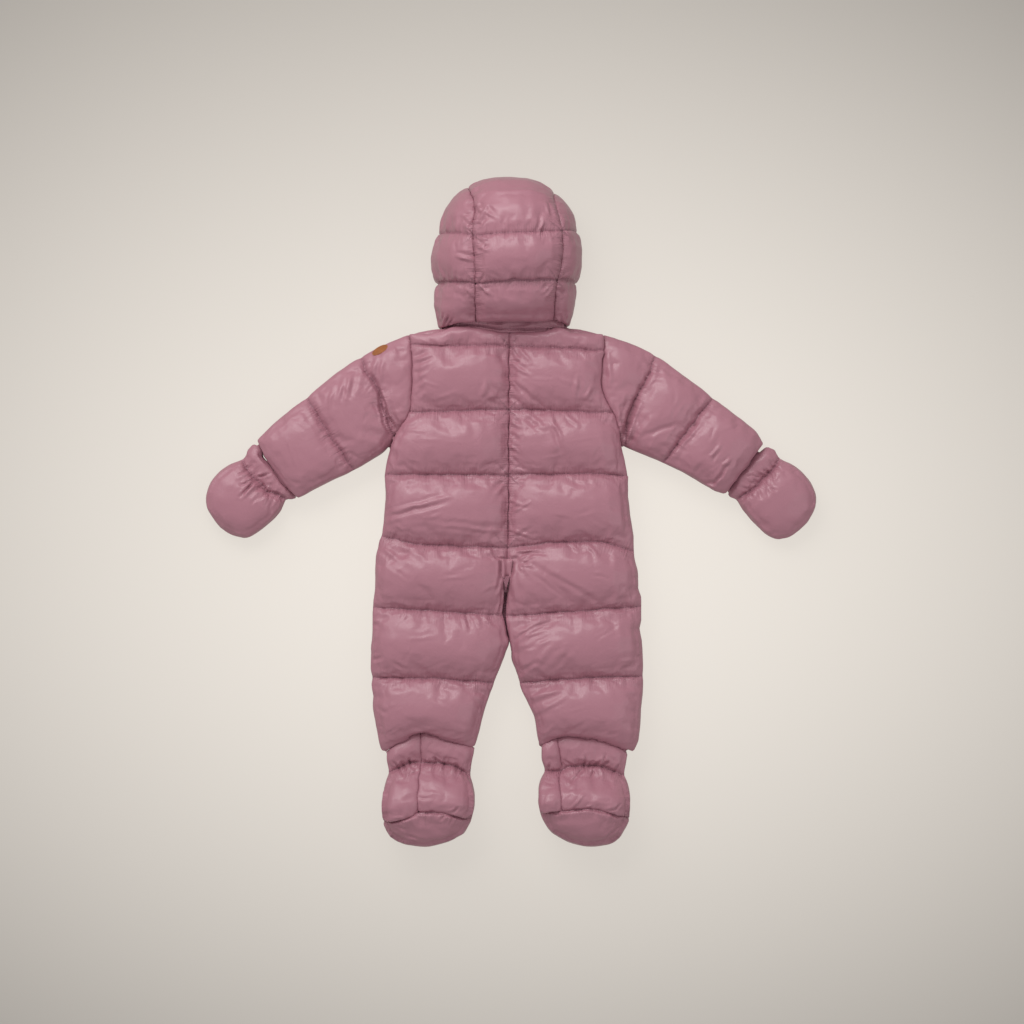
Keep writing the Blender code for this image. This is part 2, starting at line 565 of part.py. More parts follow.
def booties():
    for side, outer, inner, narrow, sole, instep in (
            ("left", HEEL_LEFT_OUTER, HEEL_LEFT_INNER, "_heel_outer", SOLE_LEFT, INSTEP_LEFT),
            ("right", HEEL_RIGHT_OUTER, HEEL_RIGHT_INNER, "_heel_inner", SOLE_RIGHT, INSTEP_RIGHT)):
        stem = "bootie_" + side
        for half, sections in (("_heel_outer", outer), ("_heel_inner", inner)):
            gathers = NARROW_HEEL_GATHERS if half == narrow else WIDE_HEEL_GATHERS
            upper_panel(stem + half, sections, BODY_PLANE, gathers=gathers, steps=HEEL_STEPS,
                        columns=even_columns(2 * gathers.count))
        upper_panel(stem + "_sole", sole, BODY_PLANE, columns=PLAIN_COLUMNS, steps=FEW_STEPS,
                    colour=CLOTH_DARK)
        lower_panel(stem + "_instep", instep, BODY_PLANE)


# ---------------------------------------------------------------- hood

# The hood stands over an open hollow on its face edge. Rows run from the neck over the back of
# the head to the forehead edge, and seams cross it at the whole stations.
HOOD_ROWS = (
    HoodRow(0.0, (-77.5, 229), (-42, 229), (51.5, 229), (62, 229), 44, 4, 0),
    HoodRow(0.5, (-84.5, 251), (-41.5, 248.5), (51, 250.5), (68, 251), 68, 8, 0),
    HoodRow(1.0, (-86, 274.5), (-41.5, 268), (53.5, 272.5), (73.5, 274.5), 84, 9, 0),
    HoodRow(1.5, (-86, 304), (-41.5, 297), (59, 301.5), (73.5, 304.5), 93, 10, 0.5),
    HoodRow(2.0, (-83.5, 333.5), (-45, 324.5), (59, 330), (74.5, 334), 94, 11, 1),
    HoodRow(2.35, (-78, 352), (-42, 356), (52.5, 355), (69, 351.5), 84, 11, 3),
    HoodRow(2.65, (-68, 368), (-46, 375), (50, 371), (59.5, 365), 64, 9, 5),
    HoodRow(2.85, (-60, 377), (-50, 384.5), (50.5, 379), (55.5, 372.5), 36, 5, 4.5),
    HoodRow(3.0, (-57.5, 379.5), (-51, 386), (50.5, 380.5), (55, 374.5), 0, 0, 4.5),
)
HOOD_LINES = (0.0, 0.12, 0.3, 0.5, 0.7, 0.88)
HOOD_SIDE_COLUMNS = (0.0, 0.08, 0.25, 0.5, 0.75, 0.93, 1.0)
HOOD_MIDDLE_COLUMNS = (0.0, 0.04, 0.14, 0.32, 0.5, 0.68, 0.86, 0.96, 1.0)
LEFT_EDGE = 0.0
RIGHT_EDGE = 3.0
FOREHEAD = 3.0
CROWN_FROM = 2.0
HOOD_THIN = 3.5
HOOD_PUFF = 9.5
HOOD_FLATNESS = 2.6
SIDE_TAPER = 0.75  # how much less a side panel is filled at its narrow end
HOOD_INSIDE = 4.0
SIDE_START = math.radians(26.0)
NORMAL_STEP = 0.01
NECK_LINE = 228.0
HOOD_GAPS = {"hood_left": 0.015, "hood_middle": 0.005, "hood_right": 0.015}


def hood_base(across, station):
    """The hood's form: across is 0 at the left edge, 1 and 2 at the seams and 3 at the right."""
    left = through([(row.station, Vector(row.left_seam)) for row in HOOD_ROWS], station)
    right = through([(row.station, Vector(row.right_seam)) for row in HOOD_ROWS], station)
    height = max(through([(row.station, row.height) for row in HOOD_ROWS], station), 0.0)
    rise = max(through([(row.station, row.rise) for row in HOOD_ROWS], station), 0.0)
    if 1.0 <= across <= 2.0:
        share = across - 1.0
        point = left.lerp(right, share)
        arch = 4.0 * share * (1.0 - share)
        bow = max(through([(row.station, row.bow) for row in HOOD_ROWS], station), 0.0)
        return Vector((point.x, point.y + bow * arch, height + rise * arch))
    if across < 1.0:
        edge = through([(row.station, Vector(row.left_edge)) for row in HOOD_ROWS], station)
        seam, share = left, 1.0 - across
    else:
        edge = through([(row.station, Vector(row.right_edge)) for row in HOOD_ROWS], station)
        seam, share = right, across - 2.0
    turn = SIDE_START + (math.pi / 2 - SIDE_START) * share
    out = (math.sin(turn) - math.sin(SIDE_START)) / (1.0 - math.sin(SIDE_START))
    down = math.cos(turn) / math.cos(SIDE_START)
    point = seam.lerp(edge, out)
    return Vector((point.x, point.y, height * down))


def hood_normal(across, station):
    """The outward direction, level at the neck edge and at the face edge."""
    step = NORMAL_STEP
    here = hood_base(across, station)
    side = (hood_base(min(across + step, RIGHT_EDGE), station) - here).normalized()
    side += (here - hood_base(max(across - step, LEFT_EDGE), station)).normalized()
    ahead = hood_base(across, min(station + step, FOREHEAD))
    ahead -= hood_base(across, max(station - step, 0.0))
    normal = side.cross(ahead).normalized()
    if station == 0.0:
        normal.y = 0.0
    if across in (LEFT_EDGE, RIGHT_EDGE) or station == FOREHEAD:
        normal.z = 0.0
    return normal.normalized()


def hood_panel(name, start, columns):
    stations = stations_of((HOOD_ROWS[0], HOOD_ROWS[-1]), HOOD_LINES)
    gap = HOOD_GAPS[name]
    outer = []
    inner = []
    for station in stations:
        # The last baffle rolls over the crown, and is still full at the forehead edge.
        t = station - int(station) if station <= CROWN_FROM else (station - CROWN_FROM) / 2.0
        filled = HOOD_PUFF * baffle(t)
        if name != "hood_middle" and station > CROWN_FROM:
            filled *= 1.0 - SIDE_TAPER * (station - CROWN_FROM) ** 2
        for share in columns:
            seam = start + share
            across = start + gap + (1.0 - 2.0 * gap) * share
            if seam in (LEFT_EDGE, RIGHT_EDGE):
                across = seam
            base = hood_base(across, station)
            normal = hood_normal(seam if share in (0.0, 1.0) else across, station)
            high = base + normal * (HOOD_THIN + filled * crown(share, HOOD_FLATNESS))
            low = base - normal * HOOD_INSIDE
            for point, points in ((high, outer), (low, inner)):
                point.y = max(point.y, NECK_LINE) if station > 0.0 else NECK_LINE
                point.z = max(point.z, 0.0)
                points.append(point)
    return wall(name, outer, inner, len(stations), len(columns), CLOTH)


def hood():
    hood_panel("hood_left", LEFT_EDGE, HOOD_SIDE_COLUMNS)
    hood_panel("hood_middle", 1.0, HOOD_MIDDLE_COLUMNS)
    hood_panel("hood_right", 2.0, HOOD_SIDE_COLUMNS)


NECK_BAND = (
    Section(0.0, 12, 0, 4, 4, ((-66, 227.5), (-2.5, 227.5), (60.5, 227.5))),
    Section(0.3, 16, 0, 4, 4, ((-66, 226.5), (-50, 225.6), (-30, 224.5), (-2.5, 223.5), (34.5, 223.8),
                               (45, 224.5), (52, 225.3), (60.5, 226.3))),
    Section(0.55, 12, 0, 4, 4, ((-66, 225.7), (-50, 224.1), (-30, 222), (-2.5, 220), (34.5, 220.8),
                                (45, 222), (52, 223.4), (60.5, 225.2))),
    Section(0.8, 15, 0, 4, 4, ((-66, 224.9), (-50, 222.6), (-30, 219.5), (-2.5, 216.7), (34.5, 217.8),
                               (45, 219.4), (52, 221.4), (60.5, 224.2))),
    Section(1.0, 11, 0, 4, 4, ((-66, 224), (-50, 221), (-30, 217.5), (-2.5, 214), (34.5, 215.5),
                               (45, 217.4), (52, 219.8), (60.5, 223.2))),
)
BAND_PARTS = 14


def neck_band():
    upper_panel("neck_band", NECK_BAND, BODY_PLANE, columns=even_columns(BAND_PARTS), steps=FEW_STEPS,
                colour=CLOTH_DARK)


# ---------------------------------------------------------------- zip

TAPE_HALF = 6.4
TAPE_LOW = 14.0
TAPE_HIGH = 15.4
CHAIN_HALF = 2.8
CHAIN_LOW = 12.0
CHAIN_HIGH = 17.4
ZIP_TOP = 222.0
ZIP_CROTCH = -158.0
SEAT_ZIP_HALF = 1.6
SEAT_ZIP_LOW = 31.0
SEAT_ZIP_HIGH = 39.0
SEAT_ZIP_LINE = ((-5, -82), (-6.5, -97.5), (-5, -124), (-3, -155))
SEAT_ZIP_PARTS = 8


def bar(name, sections, colour, roughness=0.5, metallic=0.0):
    """A closed bar through rings of equally many points."""
    ring = len(sections[0])
    points = [point for section in sections for point in section]
    faces = [tuple(range(ring)), tuple(range(len(points) - ring, len(points)))]
    for index in range(len(sections) - 1):
        for corner in range(ring):
            following = (corner + 1) % ring
            start = index * ring
            faces.append((start + corner, start + following, start + ring + following,
                          start + ring + corner))
    return add_object(name, points, faces, colour, roughness, metallic)


def zips():
    profile = (
        (-TAPE_HALF, TAPE_LOW), (-CHAIN_HALF, TAPE_LOW), (-CHAIN_HALF, CHAIN_LOW),
        (CHAIN_HALF, CHAIN_LOW), (CHAIN_HALF, TAPE_LOW), (TAPE_HALF, TAPE_LOW),
        (TAPE_HALF, TAPE_HIGH), (CHAIN_HALF, TAPE_HIGH), (CHAIN_HALF, CHAIN_HIGH),
        (-CHAIN_HALF, CHAIN_HIGH), (-CHAIN_HALF, TAPE_HIGH), (-TAPE_HALF, TAPE_HIGH),
    )
    rings = []
    for y in (ZIP_TOP, ZIP_CROTCH):
        rings.append([(ZIP_CENTRE + x, y, z) for x, z in profile])
    bar("zip_front", rings, CLOTH_DARK)
    rings = []
    for index in range(SEAT_ZIP_PARTS + 1):
        centre = along(SEAT_ZIP_LINE, index / SEAT_ZIP_PARTS)
        rings.append([
            (centre.x - SEAT_ZIP_HALF, centre.y, SEAT_ZIP_LOW),
            (centre.x + SEAT_ZIP_HALF, centre.y, SEAT_ZIP_LOW),
            (centre.x + SEAT_ZIP_HALF, centre.y, SEAT_ZIP_HIGH),
            (centre.x - SEAT_ZIP_HALF, centre.y, SEAT_ZIP_HIGH),
        ])
    bar("zip_seat", rings, CLOTH_DARK)


SLIDER_Y = 212.0
SLIDER_LONG = 12.0
SLIDER_WIDE = 9.0
SLIDER_LOW = 9.2
SLIDER_HIGH = 11.7
PIN_HEIGHT = 6.2
PIN_HALF = 0.8
LUG_INNER = 2.7
LUG_OUTER = 3.9
LUG_HALF_LONG = 1.3
LUG_SUNK = 0.5
PIN_SHORT = 0.2
PIN_RAISED = 0.001
PULL_HALF_WIDE = 2.3
PULL_LONG = 28.0
PULL_TIP_HALF = 0.6
PULL_EYE = 1.5
PULL_RING = 2.5
PULL_SIDES = 12
PULL_FLANK = -0.9  # the corners of the ring behind this cosine run out to the tip
PULL_TILT = math.radians(10.0)


def box_object(name, low, high, colour):
    points = [(x, y, z) for x in (low[0], high[0]) for y in (low[1], high[1])
              for z in (low[2], high[2])]
    faces = [(0, 1, 3, 2), (4, 6, 7, 5), (0, 4, 5, 1), (2, 3, 7, 6), (0, 2, 6, 4), (1, 5, 7, 3)]
    return add_object(name, points, faces, colour, METAL_ROUGH, METAL_SHARE)


def zip_slider():
    """The slider plate with the bridge that the pull tab hangs on, made one by unions."""
    plate = box_object(
        "zip_slider",
        (ZIP_CENTRE - SLIDER_WIDE / 2, SLIDER_Y - SLIDER_LONG / 2, SLIDER_LOW),
        (ZIP_CENTRE + SLIDER_WIDE / 2, SLIDER_Y + SLIDER_LONG / 2, SLIDER_HIGH), ZIP_METAL)
    low = PIN_HEIGHT - PIN_HALF
    high = SLIDER_LOW + LUG_SUNK
    pin_end = LUG_OUTER - PIN_SHORT
    parts = (
        ("lug_left", (-LUG_OUTER, -LUG_HALF_LONG, low), (-LUG_INNER, LUG_HALF_LONG, high)),
        ("lug_right", (LUG_INNER, -LUG_HALF_LONG, low), (LUG_OUTER, LUG_HALF_LONG, high)),
        ("bridge", (-pin_end, -PIN_HALF, low + PIN_RAISED), (pin_end, PIN_HALF, low + 2 * PIN_HALF)),
    )
    for name, corner_low, corner_high in parts:
        tool = box_object(
            name,
            (ZIP_CENTRE + corner_low[0], SLIDER_Y + corner_low[1], corner_low[2]),
            (ZIP_CENTRE + corner_high[0], SLIDER_Y + corner_high[1], corner_high[2]), ZIP_METAL)
        tool.hide_render = True
        tool.display_type = "WIRE"
        union = plate.modifiers.new(name, "BOOLEAN")
        union.operation = "UNION"
        union.object = tool


def zip_pull():
    """The pull tab: a tapered blade with an eye round the slider's bridge."""
    outline = []
    eye = []
    for side in range(PULL_SIDES):
        turn = 2.0 * math.pi * (side + 0.5) / PULL_SIDES
        y, z = math.cos(turn), math.sin(turn)
        eye.append((PULL_EYE * y, PULL_EYE * z))
        if y < PULL_FLANK:
            outline.append((-PULL_LONG, math.copysign(PULL_TIP_HALF, z)))
        else:
            outline.append((PULL_RING * y, PULL_RING * z))
    cosine, sine = math.cos(PULL_TILT), math.sin(PULL_TILT)
    points = []
    for x in (ZIP_CENTRE - PULL_HALF_WIDE, ZIP_CENTRE + PULL_HALF_WIDE):
        for y, z in outline + eye:
            points.append((x, SLIDER_Y + y * cosine - z * sine, PIN_HEIGHT + y * sine + z * cosine))
    count = 2 * PULL_SIDES
    faces = []
    for side in range(PULL_SIDES):
        following = (side + 1) % PULL_SIDES
        for offset in (0, count):
            faces.append((offset + side, offset + following, offset + PULL_SIDES + following,
                          offset + PULL_SIDES + side))
        for ring in (0, PULL_SIDES):
            faces.append((ring + side, ring + following, count + ring + following,
                          count + ring + side))
    add_object("zip_pull", points, faces, ZIP_METAL, METAL_ROUGH, METAL_SHARE)


# ---------------------------------------------------------------- small pieces

PATCH_CENTRE = (-156.4, 191.8)
PATCH_LONG = 10.5
PATCH_SHORT = 4.6
PATCH_TURN = math.radians(30.0)
PATCH_THICK = 2.2
PATCH_SIDES = 20
PATCH_RINGS = (0.35, 0.7, 1.0)
GARAGE_TOP = (-4.5, -44.5)
GARAGE_END = (-5, -78.5)
GARAGE_HALVES = (-7.0, -5.0, -2.9, 2.9, 5.0, 7.0)
GARAGE_ROWS = 9
GARAGE_THICK = 2.0
LIFT = 1.1
SKY = 0.3


def surface_height(trees, x, y):
    """The height of the panels under a point of the plan, in millimetres."""
    heights = []
    for tree in trees:
        hit = tree.ray_cast(Vector((x * MM, y * MM, SKY)), Vector((0.0, 0.0, -1.0)))[0]
        if hit is not None:
            heights.append(hit.z / MM)
    return max(heights)


def tree_of(*names):
    trees = []
    for name in names:
        mesh = bpy.data.objects[name].data
        corners = [vertex.co for vertex in mesh.vertices]
        trees.append(BVHTree.FromPolygons(corners, [face.vertices for face in mesh.polygons]))
    return trees


def shoulder_patch():
    """A bare leather disc on the cap of the left sleeve."""
    trees = tree_of("sleeve_left_upper")
    low = []
    centre = Vector(PATCH_CENTRE)
    for ring in PATCH_RINGS:
        for side in range(PATCH_SIDES):
            turn = 2.0 * math.pi * side / PATCH_SIDES
            long = PATCH_LONG * ring * math.cos(turn)
            short = PATCH_SHORT * ring * math.sin(turn)
            x = centre.x + long * math.cos(PATCH_TURN) - short * math.sin(PATCH_TURN)
            y = centre.y + long * math.sin(PATCH_TURN) + short * math.cos(PATCH_TURN)
            low.append(Vector((x, y, surface_height(trees, x, y) + LIFT)))
    low.append(Vector((centre.x, centre.y, surface_height(trees, centre.x, centre.y) + LIFT)))
    high = [point + Vector((0.0, 0.0, PATCH_THICK)) for point in low]
    count = len(low)
    faces = []
    for offset in (0, count):
        for side in range(PATCH_SIDES):
            following = (side + 1) % PATCH_SIDES
            faces.append((offset + count - 1, offset + side, offset + following))
            for ring in range(len(PATCH_RINGS) - 1):
                start = offset + ring * PATCH_SIDES
                faces.append((start + side, start + PATCH_SIDES + side,
                              start + PATCH_SIDES + following, start + following))
    last = (len(PATCH_RINGS) - 1) * PATCH_SIDES
    for side in range(PATCH_SIDES):
        following = (side + 1) % PATCH_SIDES
        faces.append((last + side, last + following, count + last + following, count + last + side))
    add_object("shoulder_patch", low + high, faces, LEATHER, 0.55)


def zip_garage():
    """The cloth tab that covers the end of the zip, sewn into the centre back seam."""
    trees = tree_of("back_left", "back_right")
    start, end = Vector(GARAGE_TOP), Vector(GARAGE_END)
    low = []
    for row in range(GARAGE_ROWS):
        centre = start.lerp(end, row / (GARAGE_ROWS - 1))
        for half in GARAGE_HALVES:
            x = centre.x + half
            low.append(Vector((x, centre.y, surface_height(trees, x, centre.y) + LIFT)))
    high = [point + Vector((0.0, 0.0, GARAGE_THICK)) for point in low]
    wall("zip_garage", high, low, GARAGE_ROWS, len(GARAGE_HALVES), CLOTH)


for existing in list(bpy.data.objects):
    bpy.data.objects.remove(existing, do_unlink=True)
body()
sleeves()
mittens()
booties()
hood()
neck_band()
zips()
zip_slider()
zip_pull()
shoulder_patch()
zip_garage()
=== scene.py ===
"""A quilted baby snowsuit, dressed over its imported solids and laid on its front."""

import math
from collections import namedtuple

import bpy
import numpy as np
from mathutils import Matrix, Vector
from mathutils.bvhtree import BVHTree


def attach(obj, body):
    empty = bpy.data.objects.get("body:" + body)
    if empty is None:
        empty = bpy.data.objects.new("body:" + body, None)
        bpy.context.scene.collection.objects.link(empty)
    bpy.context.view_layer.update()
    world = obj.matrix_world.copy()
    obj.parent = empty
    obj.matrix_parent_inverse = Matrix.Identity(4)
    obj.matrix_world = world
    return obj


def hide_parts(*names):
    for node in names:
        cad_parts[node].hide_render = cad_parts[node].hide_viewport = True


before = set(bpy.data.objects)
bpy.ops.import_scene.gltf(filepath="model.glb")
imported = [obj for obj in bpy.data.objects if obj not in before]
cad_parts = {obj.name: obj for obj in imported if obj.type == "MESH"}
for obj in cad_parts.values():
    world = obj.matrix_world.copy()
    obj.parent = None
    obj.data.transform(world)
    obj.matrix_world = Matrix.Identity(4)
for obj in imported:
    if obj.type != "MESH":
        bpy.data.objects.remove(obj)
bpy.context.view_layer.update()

# ---------------------------------------------------------------- studio
# A pale paper sweep that glows a little lies under the suit, so that it takes hardly any shadow.
# The glow is painted light: a pool, brightest in the middle and darker to the corners, twice as
# strong to the camera as to the suit.
# A large soft light stands high at the upper left, with one over the head and a weak fill.
FLOOR_SIZE = 14.0
FLOOR_DROP = 0.0004
PAINTED_POOL_DIM = (0.005, 0.005, 0.005, 1.0)
PAINTED_POOL_BRIGHT = (0.742, 0.697, 0.641, 1.0)


def feed(tree, node, values):
    """Gives a node's sockets constants, or links them to other nodes' outputs."""
    for name, value in values.items():
        if isinstance(value, bpy.types.NodeSocket):
            tree.links.new(value, node.inputs[name])
        else:
            node.inputs[name].default_value = value


def add_node(tree, kind, values=None, **options):
    """A new node of a tree, with its options and its sockets set."""
    node = tree.nodes.new(kind)
    for name, value in options.items():
        setattr(node, name, value)
    feed(tree, node, values or {})
    return node


def blend(tree, share, first, second, mode="MIX"):
    """One colour blended with another."""
    return add_node(tree, "ShaderNodeMix", {"Factor": share, "A": first, "B": second},
                    data_type="RGBA", blend_type=mode).outputs["Result"]


def new_material(name):
    """A new material, its node tree and its shader."""
    made = bpy.data.materials.new(name)
    made.use_nodes = True
    return made, made.node_tree, made.node_tree.nodes["Principled BSDF"]


bpy.ops.object.select_all(action="DESELECT")
bpy.ops.mesh.primitive_plane_add(size=FLOOR_SIZE, location=(0.0, 0.0, -FLOOR_DROP))
floor = bpy.context.object
floor.name = "paper_floor"
paper, paper_tree, paper_shader = new_material("glowing_paper")
paper_reach = add_node(paper_tree, "ShaderNodeMapping",
                       {"Vector": add_node(paper_tree, "ShaderNodeTexCoord").outputs["Object"],
                        "Location": (0.0, 0.02, 0.0), "Scale": (0.57, 0.775, 1.0)})
painted_pool = add_node(paper_tree, "ShaderNodeTexGradient", {"Vector": paper_reach.outputs["Vector"]},
                      gradient_type="SPHERICAL")
paper_soft = add_node(paper_tree, "ShaderNodeMapRange", {"Value": painted_pool.outputs["Fac"]},
                      interpolation_type="SMOOTHSTEP")
paper_seen = add_node(paper_tree, "ShaderNodeLightPath").outputs["Is Camera Ray"]
paper_glow = add_node(paper_tree, "ShaderNodeMapRange", {"Value": paper_seen, "To Min": 0.5})
# Painted light: the paper glows in a pool that is pale in the middle and dark at the corners, which hides
# the suit's shadow on it.
feed(paper_tree, paper_shader,
     {"Roughness": 0.9, "Specular IOR Level": 0.1, "Base Color": (0.16, 0.148, 0.135, 1.0),
      "Emission Color": blend(paper_tree, paper_soft.outputs["Result"], PAINTED_POOL_DIM, PAINTED_POOL_BRIGHT),
      "Emission Strength": paper_glow.outputs["Result"]})
floor.data.materials.append(paper)

world = bpy.data.worlds.new("studio_room")
world.use_nodes = True
world.node_tree.nodes["Background"].inputs["Color"].default_value = (1.0, 0.985, 0.97, 1.0)
world.node_tree.nodes["Background"].inputs["Strength"].default_value = 0.53
bpy.context.scene.world = world


def soft_light(name, place, aim, size, power, colour):
    """A softbox of one size, (wide, high) in metres, that looks at aim."""
    lamp = bpy.data.lights.new(name, "AREA")
    lamp.shape = "RECTANGLE"
    lamp.size = size[0]
    lamp.size_y = size[1]
    lamp.energy = power
    lamp.color = colour
    stand = bpy.data.objects.new(name, lamp)
    bpy.context.collection.objects.link(stand)
    stand.location = place
    stand.rotation_euler = (Vector(aim) - Vector(place)).to_track_quat("-Z", "Y").to_euler()


soft_light("key_softbox", (-1.4, 2.0, 1.95), (0.0, 0.05, 0.0), (2.7, 2.1), 41.0, (1.0, 0.985, 0.97))
soft_light("fill_softbox", (1.9, -0.4, 2.2), (0.0, 0.0, 0.0), (1.6, 1.6), 6.0, (1.0, 0.99, 0.98))
soft_light("head_softbox", (-0.25, 1.15, 1.35), (0.0, 0.15, 0.0), (1.1, 0.7), 6.5, (1.0, 0.99, 0.98))

camera_data = bpy.data.cameras.new("above")
camera_data.lens = 85.0
camera_data.sensor_width = 36.0
camera = bpy.data.objects.new("above", camera_data)
bpy.context.collection.objects.link(camera)
camera.location = (0.0009, -0.0003, 2.931)
bpy.context.scene.camera = camera
bpy.context.scene.view_settings.view_transform = "Standard"

# ---------------------------------------------------------------- back halves
# Each half of the back is glossy down-proof nylon over a down filling, one length from the neck
# to the leg hem, quilted straight across and joined at the centre back.
# MM is a millimetre. Next come the cloth's colour and the colour of the painted shade in its seams,
# the size of its mesh in metres, the frames that filling takes, how far a wall stands out and looks
# for its neighbour and the height of the plain face, in millimetres, and the heights of the nylon's
# crinkles, pleats, fuzz and weave in metres, with the weave's scale.
MM = 0.001
MAUVE = (0.425, 0.183, 0.235, 1.0)
MAUVE_PAINTED_SHADE = (0.20, 0.062, 0.098, 1.0)
VOXEL = 0.0031
FILL_FRAMES = 20
WALL_REACH = 0.35
JOIN_REACH = 5.0
BACK_PLANE = 30.3
CRINKLE_HIGH = -0.0009
PLEAT_HIGH = -0.0066
FINE_HIGH = 0.00012
WEAVE_HIGH = 0.00002
THREADS_AT = 620.0


def new_group(name, given, sent):
    """A new node group with its sockets, what it is given and the node that sends its results."""
    group = bpy.data.node_groups.new(name, "ShaderNodeTree")
    for label, kind, start in given:
        socket = group.interface.new_socket(label, in_out="INPUT", socket_type="NodeSocket" + kind)
        socket.default_value = start
    for label, kind in sent:
        group.interface.new_socket(label, in_out="OUTPUT", socket_type="NodeSocket" + kind)
    return group, add_node(group, "NodeGroupInput").outputs, add_node(group, "NodeGroupOutput")


def noise(tree, place, scale, detail=2.0, rough=0.5, distortion=0.0):
    """Soft noise from 0 to 1."""
    return add_node(tree, "ShaderNodeTexNoise",
                    {"Vector": place, "Scale": scale, "Detail": detail, "Roughness": rough,
                     "Distortion": distortion}).outputs["Fac"]


def maths(tree, operation, *values):
    """The result of one step of arithmetic."""
    return add_node(tree, "ShaderNodeMath", dict(enumerate(values)), operation=operation).outputs[0]


def nylon_surface_group():
    """Crinkle, weave and random tone of down-proof nylon, with painted shade at its seams, as a colour, a
    roughness and a height.
    """
    group, given, sent = new_group(
        "nylon_surface",
        (("Cloth Colour", "Color", (0.4, 0.18, 0.22, 1.0)), ("Painted Shade Colour", "Color", (0.1, 0.03, 0.05, 1.0)),
         ("Seam", "Float", 0.0), ("Pleat", "Vector", (0.0, 0.0, 0.0)), ("Gather", "Float", 0.0),
         ("Gloss", "Float", 0.3)),
        (("Colour", "Color"), ("Roughness", "Float"), ("Height", "Float")))
    place = add_node(group, "ShaderNodeTexCoord").outputs["Object"]

    def plus(first, second):
        return maths(group, "ADD", first, second)

    def times(first, second):
        return maths(group, "MULTIPLY", first, second)

    def ridged(value):
        return maths(group, "ABSOLUTE", maths(group, "SUBTRACT", value, 0.5))

    shade = plus(times(noise(group, place, 14.0, 3.0), 0.35),
                 times(noise(group, place, 420.0, 2.0, 0.6), 0.2))
    dim = blend(group, 1.0, given["Cloth Colour"], (0.82, 0.78, 0.80, 1.0), "MULTIPLY")
    tinted = blend(group, shade, given["Cloth Colour"], dim)
    # Painted shade: the 'Seam' mark blends the cloth towards the painted shade colour in the seam grooves
    # and on walls where pieces meet.
    seam_shaded = blend(group, times(given["Seam"], 0.8), tinted, given["Painted Shade Colour"])
    rough = plus(given["Gloss"], times(noise(group, place, 55.0, 3.0, 0.6), 0.14))
    rough = plus(rough, times(given["Seam"], 0.25))
    crinkle = times(ridged(noise(group, place, 70.0, 3.0, 0.55, 1.2)), CRINKLE_HIGH)
    fold = ridged(noise(group, given["Pleat"], 1.0, 2.5, 0.5, 0.35))
    fold = times(times(fold, given["Gather"]), PLEAT_HIGH)
    fine = times(noise(group, place, 260.0), FINE_HIGH)
    threads = [add_node(group, "ShaderNodeTexWave", {"Vector": place, "Scale": THREADS_AT},
                        wave_type="BANDS", bands_direction=axis).outputs["Fac"] for axis in ("X", "Y")]
    weave = times(times(*threads), WEAVE_HIGH)
    height = plus(plus(plus(crinkle, fold), fine), weave)
    feed(group, sent, {"Colour": seam_shaded, "Roughness": rough, "Height": height})
    return group


def nylon(name, colour, gloss):
    """The suit's shell cloth in one colour, with painted shade in its seams and on walls where pieces meet.
    """
    made, tree, shader = new_material(name)
    # The 'sewn' mark carries painted shade, not a colour of the cloth.
    marks = {label: add_node(tree, "ShaderNodeAttribute", attribute_name=label).outputs
             for label in ("sewn", "pleat", "gather")}
    surface = add_node(tree, "ShaderNodeGroup",
                       {"Cloth Colour": colour, "Painted Shade Colour": MAUVE_PAINTED_SHADE, "Gloss": gloss,
                        "Seam": marks["sewn"]["Fac"], "Pleat": marks["pleat"]["Vector"],
                        "Gather": marks["gather"]["Fac"]}, node_tree=NYLON_SURFACE).outputs
    bump = add_node(tree, "ShaderNodeBump",
                    {"Strength": 0.7, "Distance": 1.0, "Height": surface["Height"]})
    feed(tree, shader,
         {"Base Color": surface["Colour"], "Roughness": surface["Roughness"],
          "Normal": bump.outputs["Normal"], "Specular IOR Level": 0.5, "Coat Weight": 0.32,
          "Coat Roughness": 0.16, "Sheen Weight": 0.03})
    return made


NYLON_SURFACE = nylon_surface_group()
SHELL = nylon("mauve_nylon", MAUVE, 0.42)


def coordinates(mesh):
    """Every point of a mesh in millimetres."""
    flat = np.empty(len(mesh.vertices) * 3)
    mesh.vertices.foreach_get("co", flat)
    return flat.reshape(-1, 3) / MM


def set_coordinates(mesh, points):
    """Sets every point of a mesh, in millimetres."""
    mesh.vertices.foreach_set("co", (points * MM).ravel())
    mesh.update()


def normals_of(mesh):
    """The way that the mesh faces at every point."""
    flat = np.empty(len(mesh.vertices) * 3)
    mesh.vertices.foreach_get("normal", flat)
    return flat.reshape(-1, 3)


def ramp(values):
    """Values kept from 0 to 1."""
    return np.clip(values, 0.0, 1.0)


def bell(values):
    """A soft bump that is 1 at 0 and falls away on both sides."""
    return np.exp(-values ** 2)


def away_from(points, start, end):
    """How far points are from a straight line in plan, and how far along it they lie, 0 to 1."""
    start, run = np.array(start, float), np.array(end, float) - np.array(start, float)
    share = ramp((points[:, :2] - start) @ run / (run @ run))
    nearest = start + share[:, None] * run
    return np.linalg.norm(points[:, :2] - nearest, axis=1), share


def away_from_lines(points, lines):
    """The least distance in plan to any of several lines of points."""
    least = np.full(len(points), 1e6)
    for line in lines:
        for start, end in zip(line[:-1], line[1:]):
            least = np.minimum(least, away_from(points, start, end)[0])
    return least


def nearest_on_lines(points, lines):
    """The place in plan, on any of several short lines, that is nearest to each point."""
    least = np.full(len(points), 1e6)
    nearest = points[:, :2].copy()
    for start, end in lines:
        away, share = away_from(points, start, end)
        closer = away < least
        spot = np.array(start) + share[:, None] * (np.array(end) - np.array(start))
        nearest[closer] = spot[closer]
        least[closer] = away[closer]
    return nearest


OUTLINES = {}
SHARP_TURN = math.cos(math.radians(42.0))


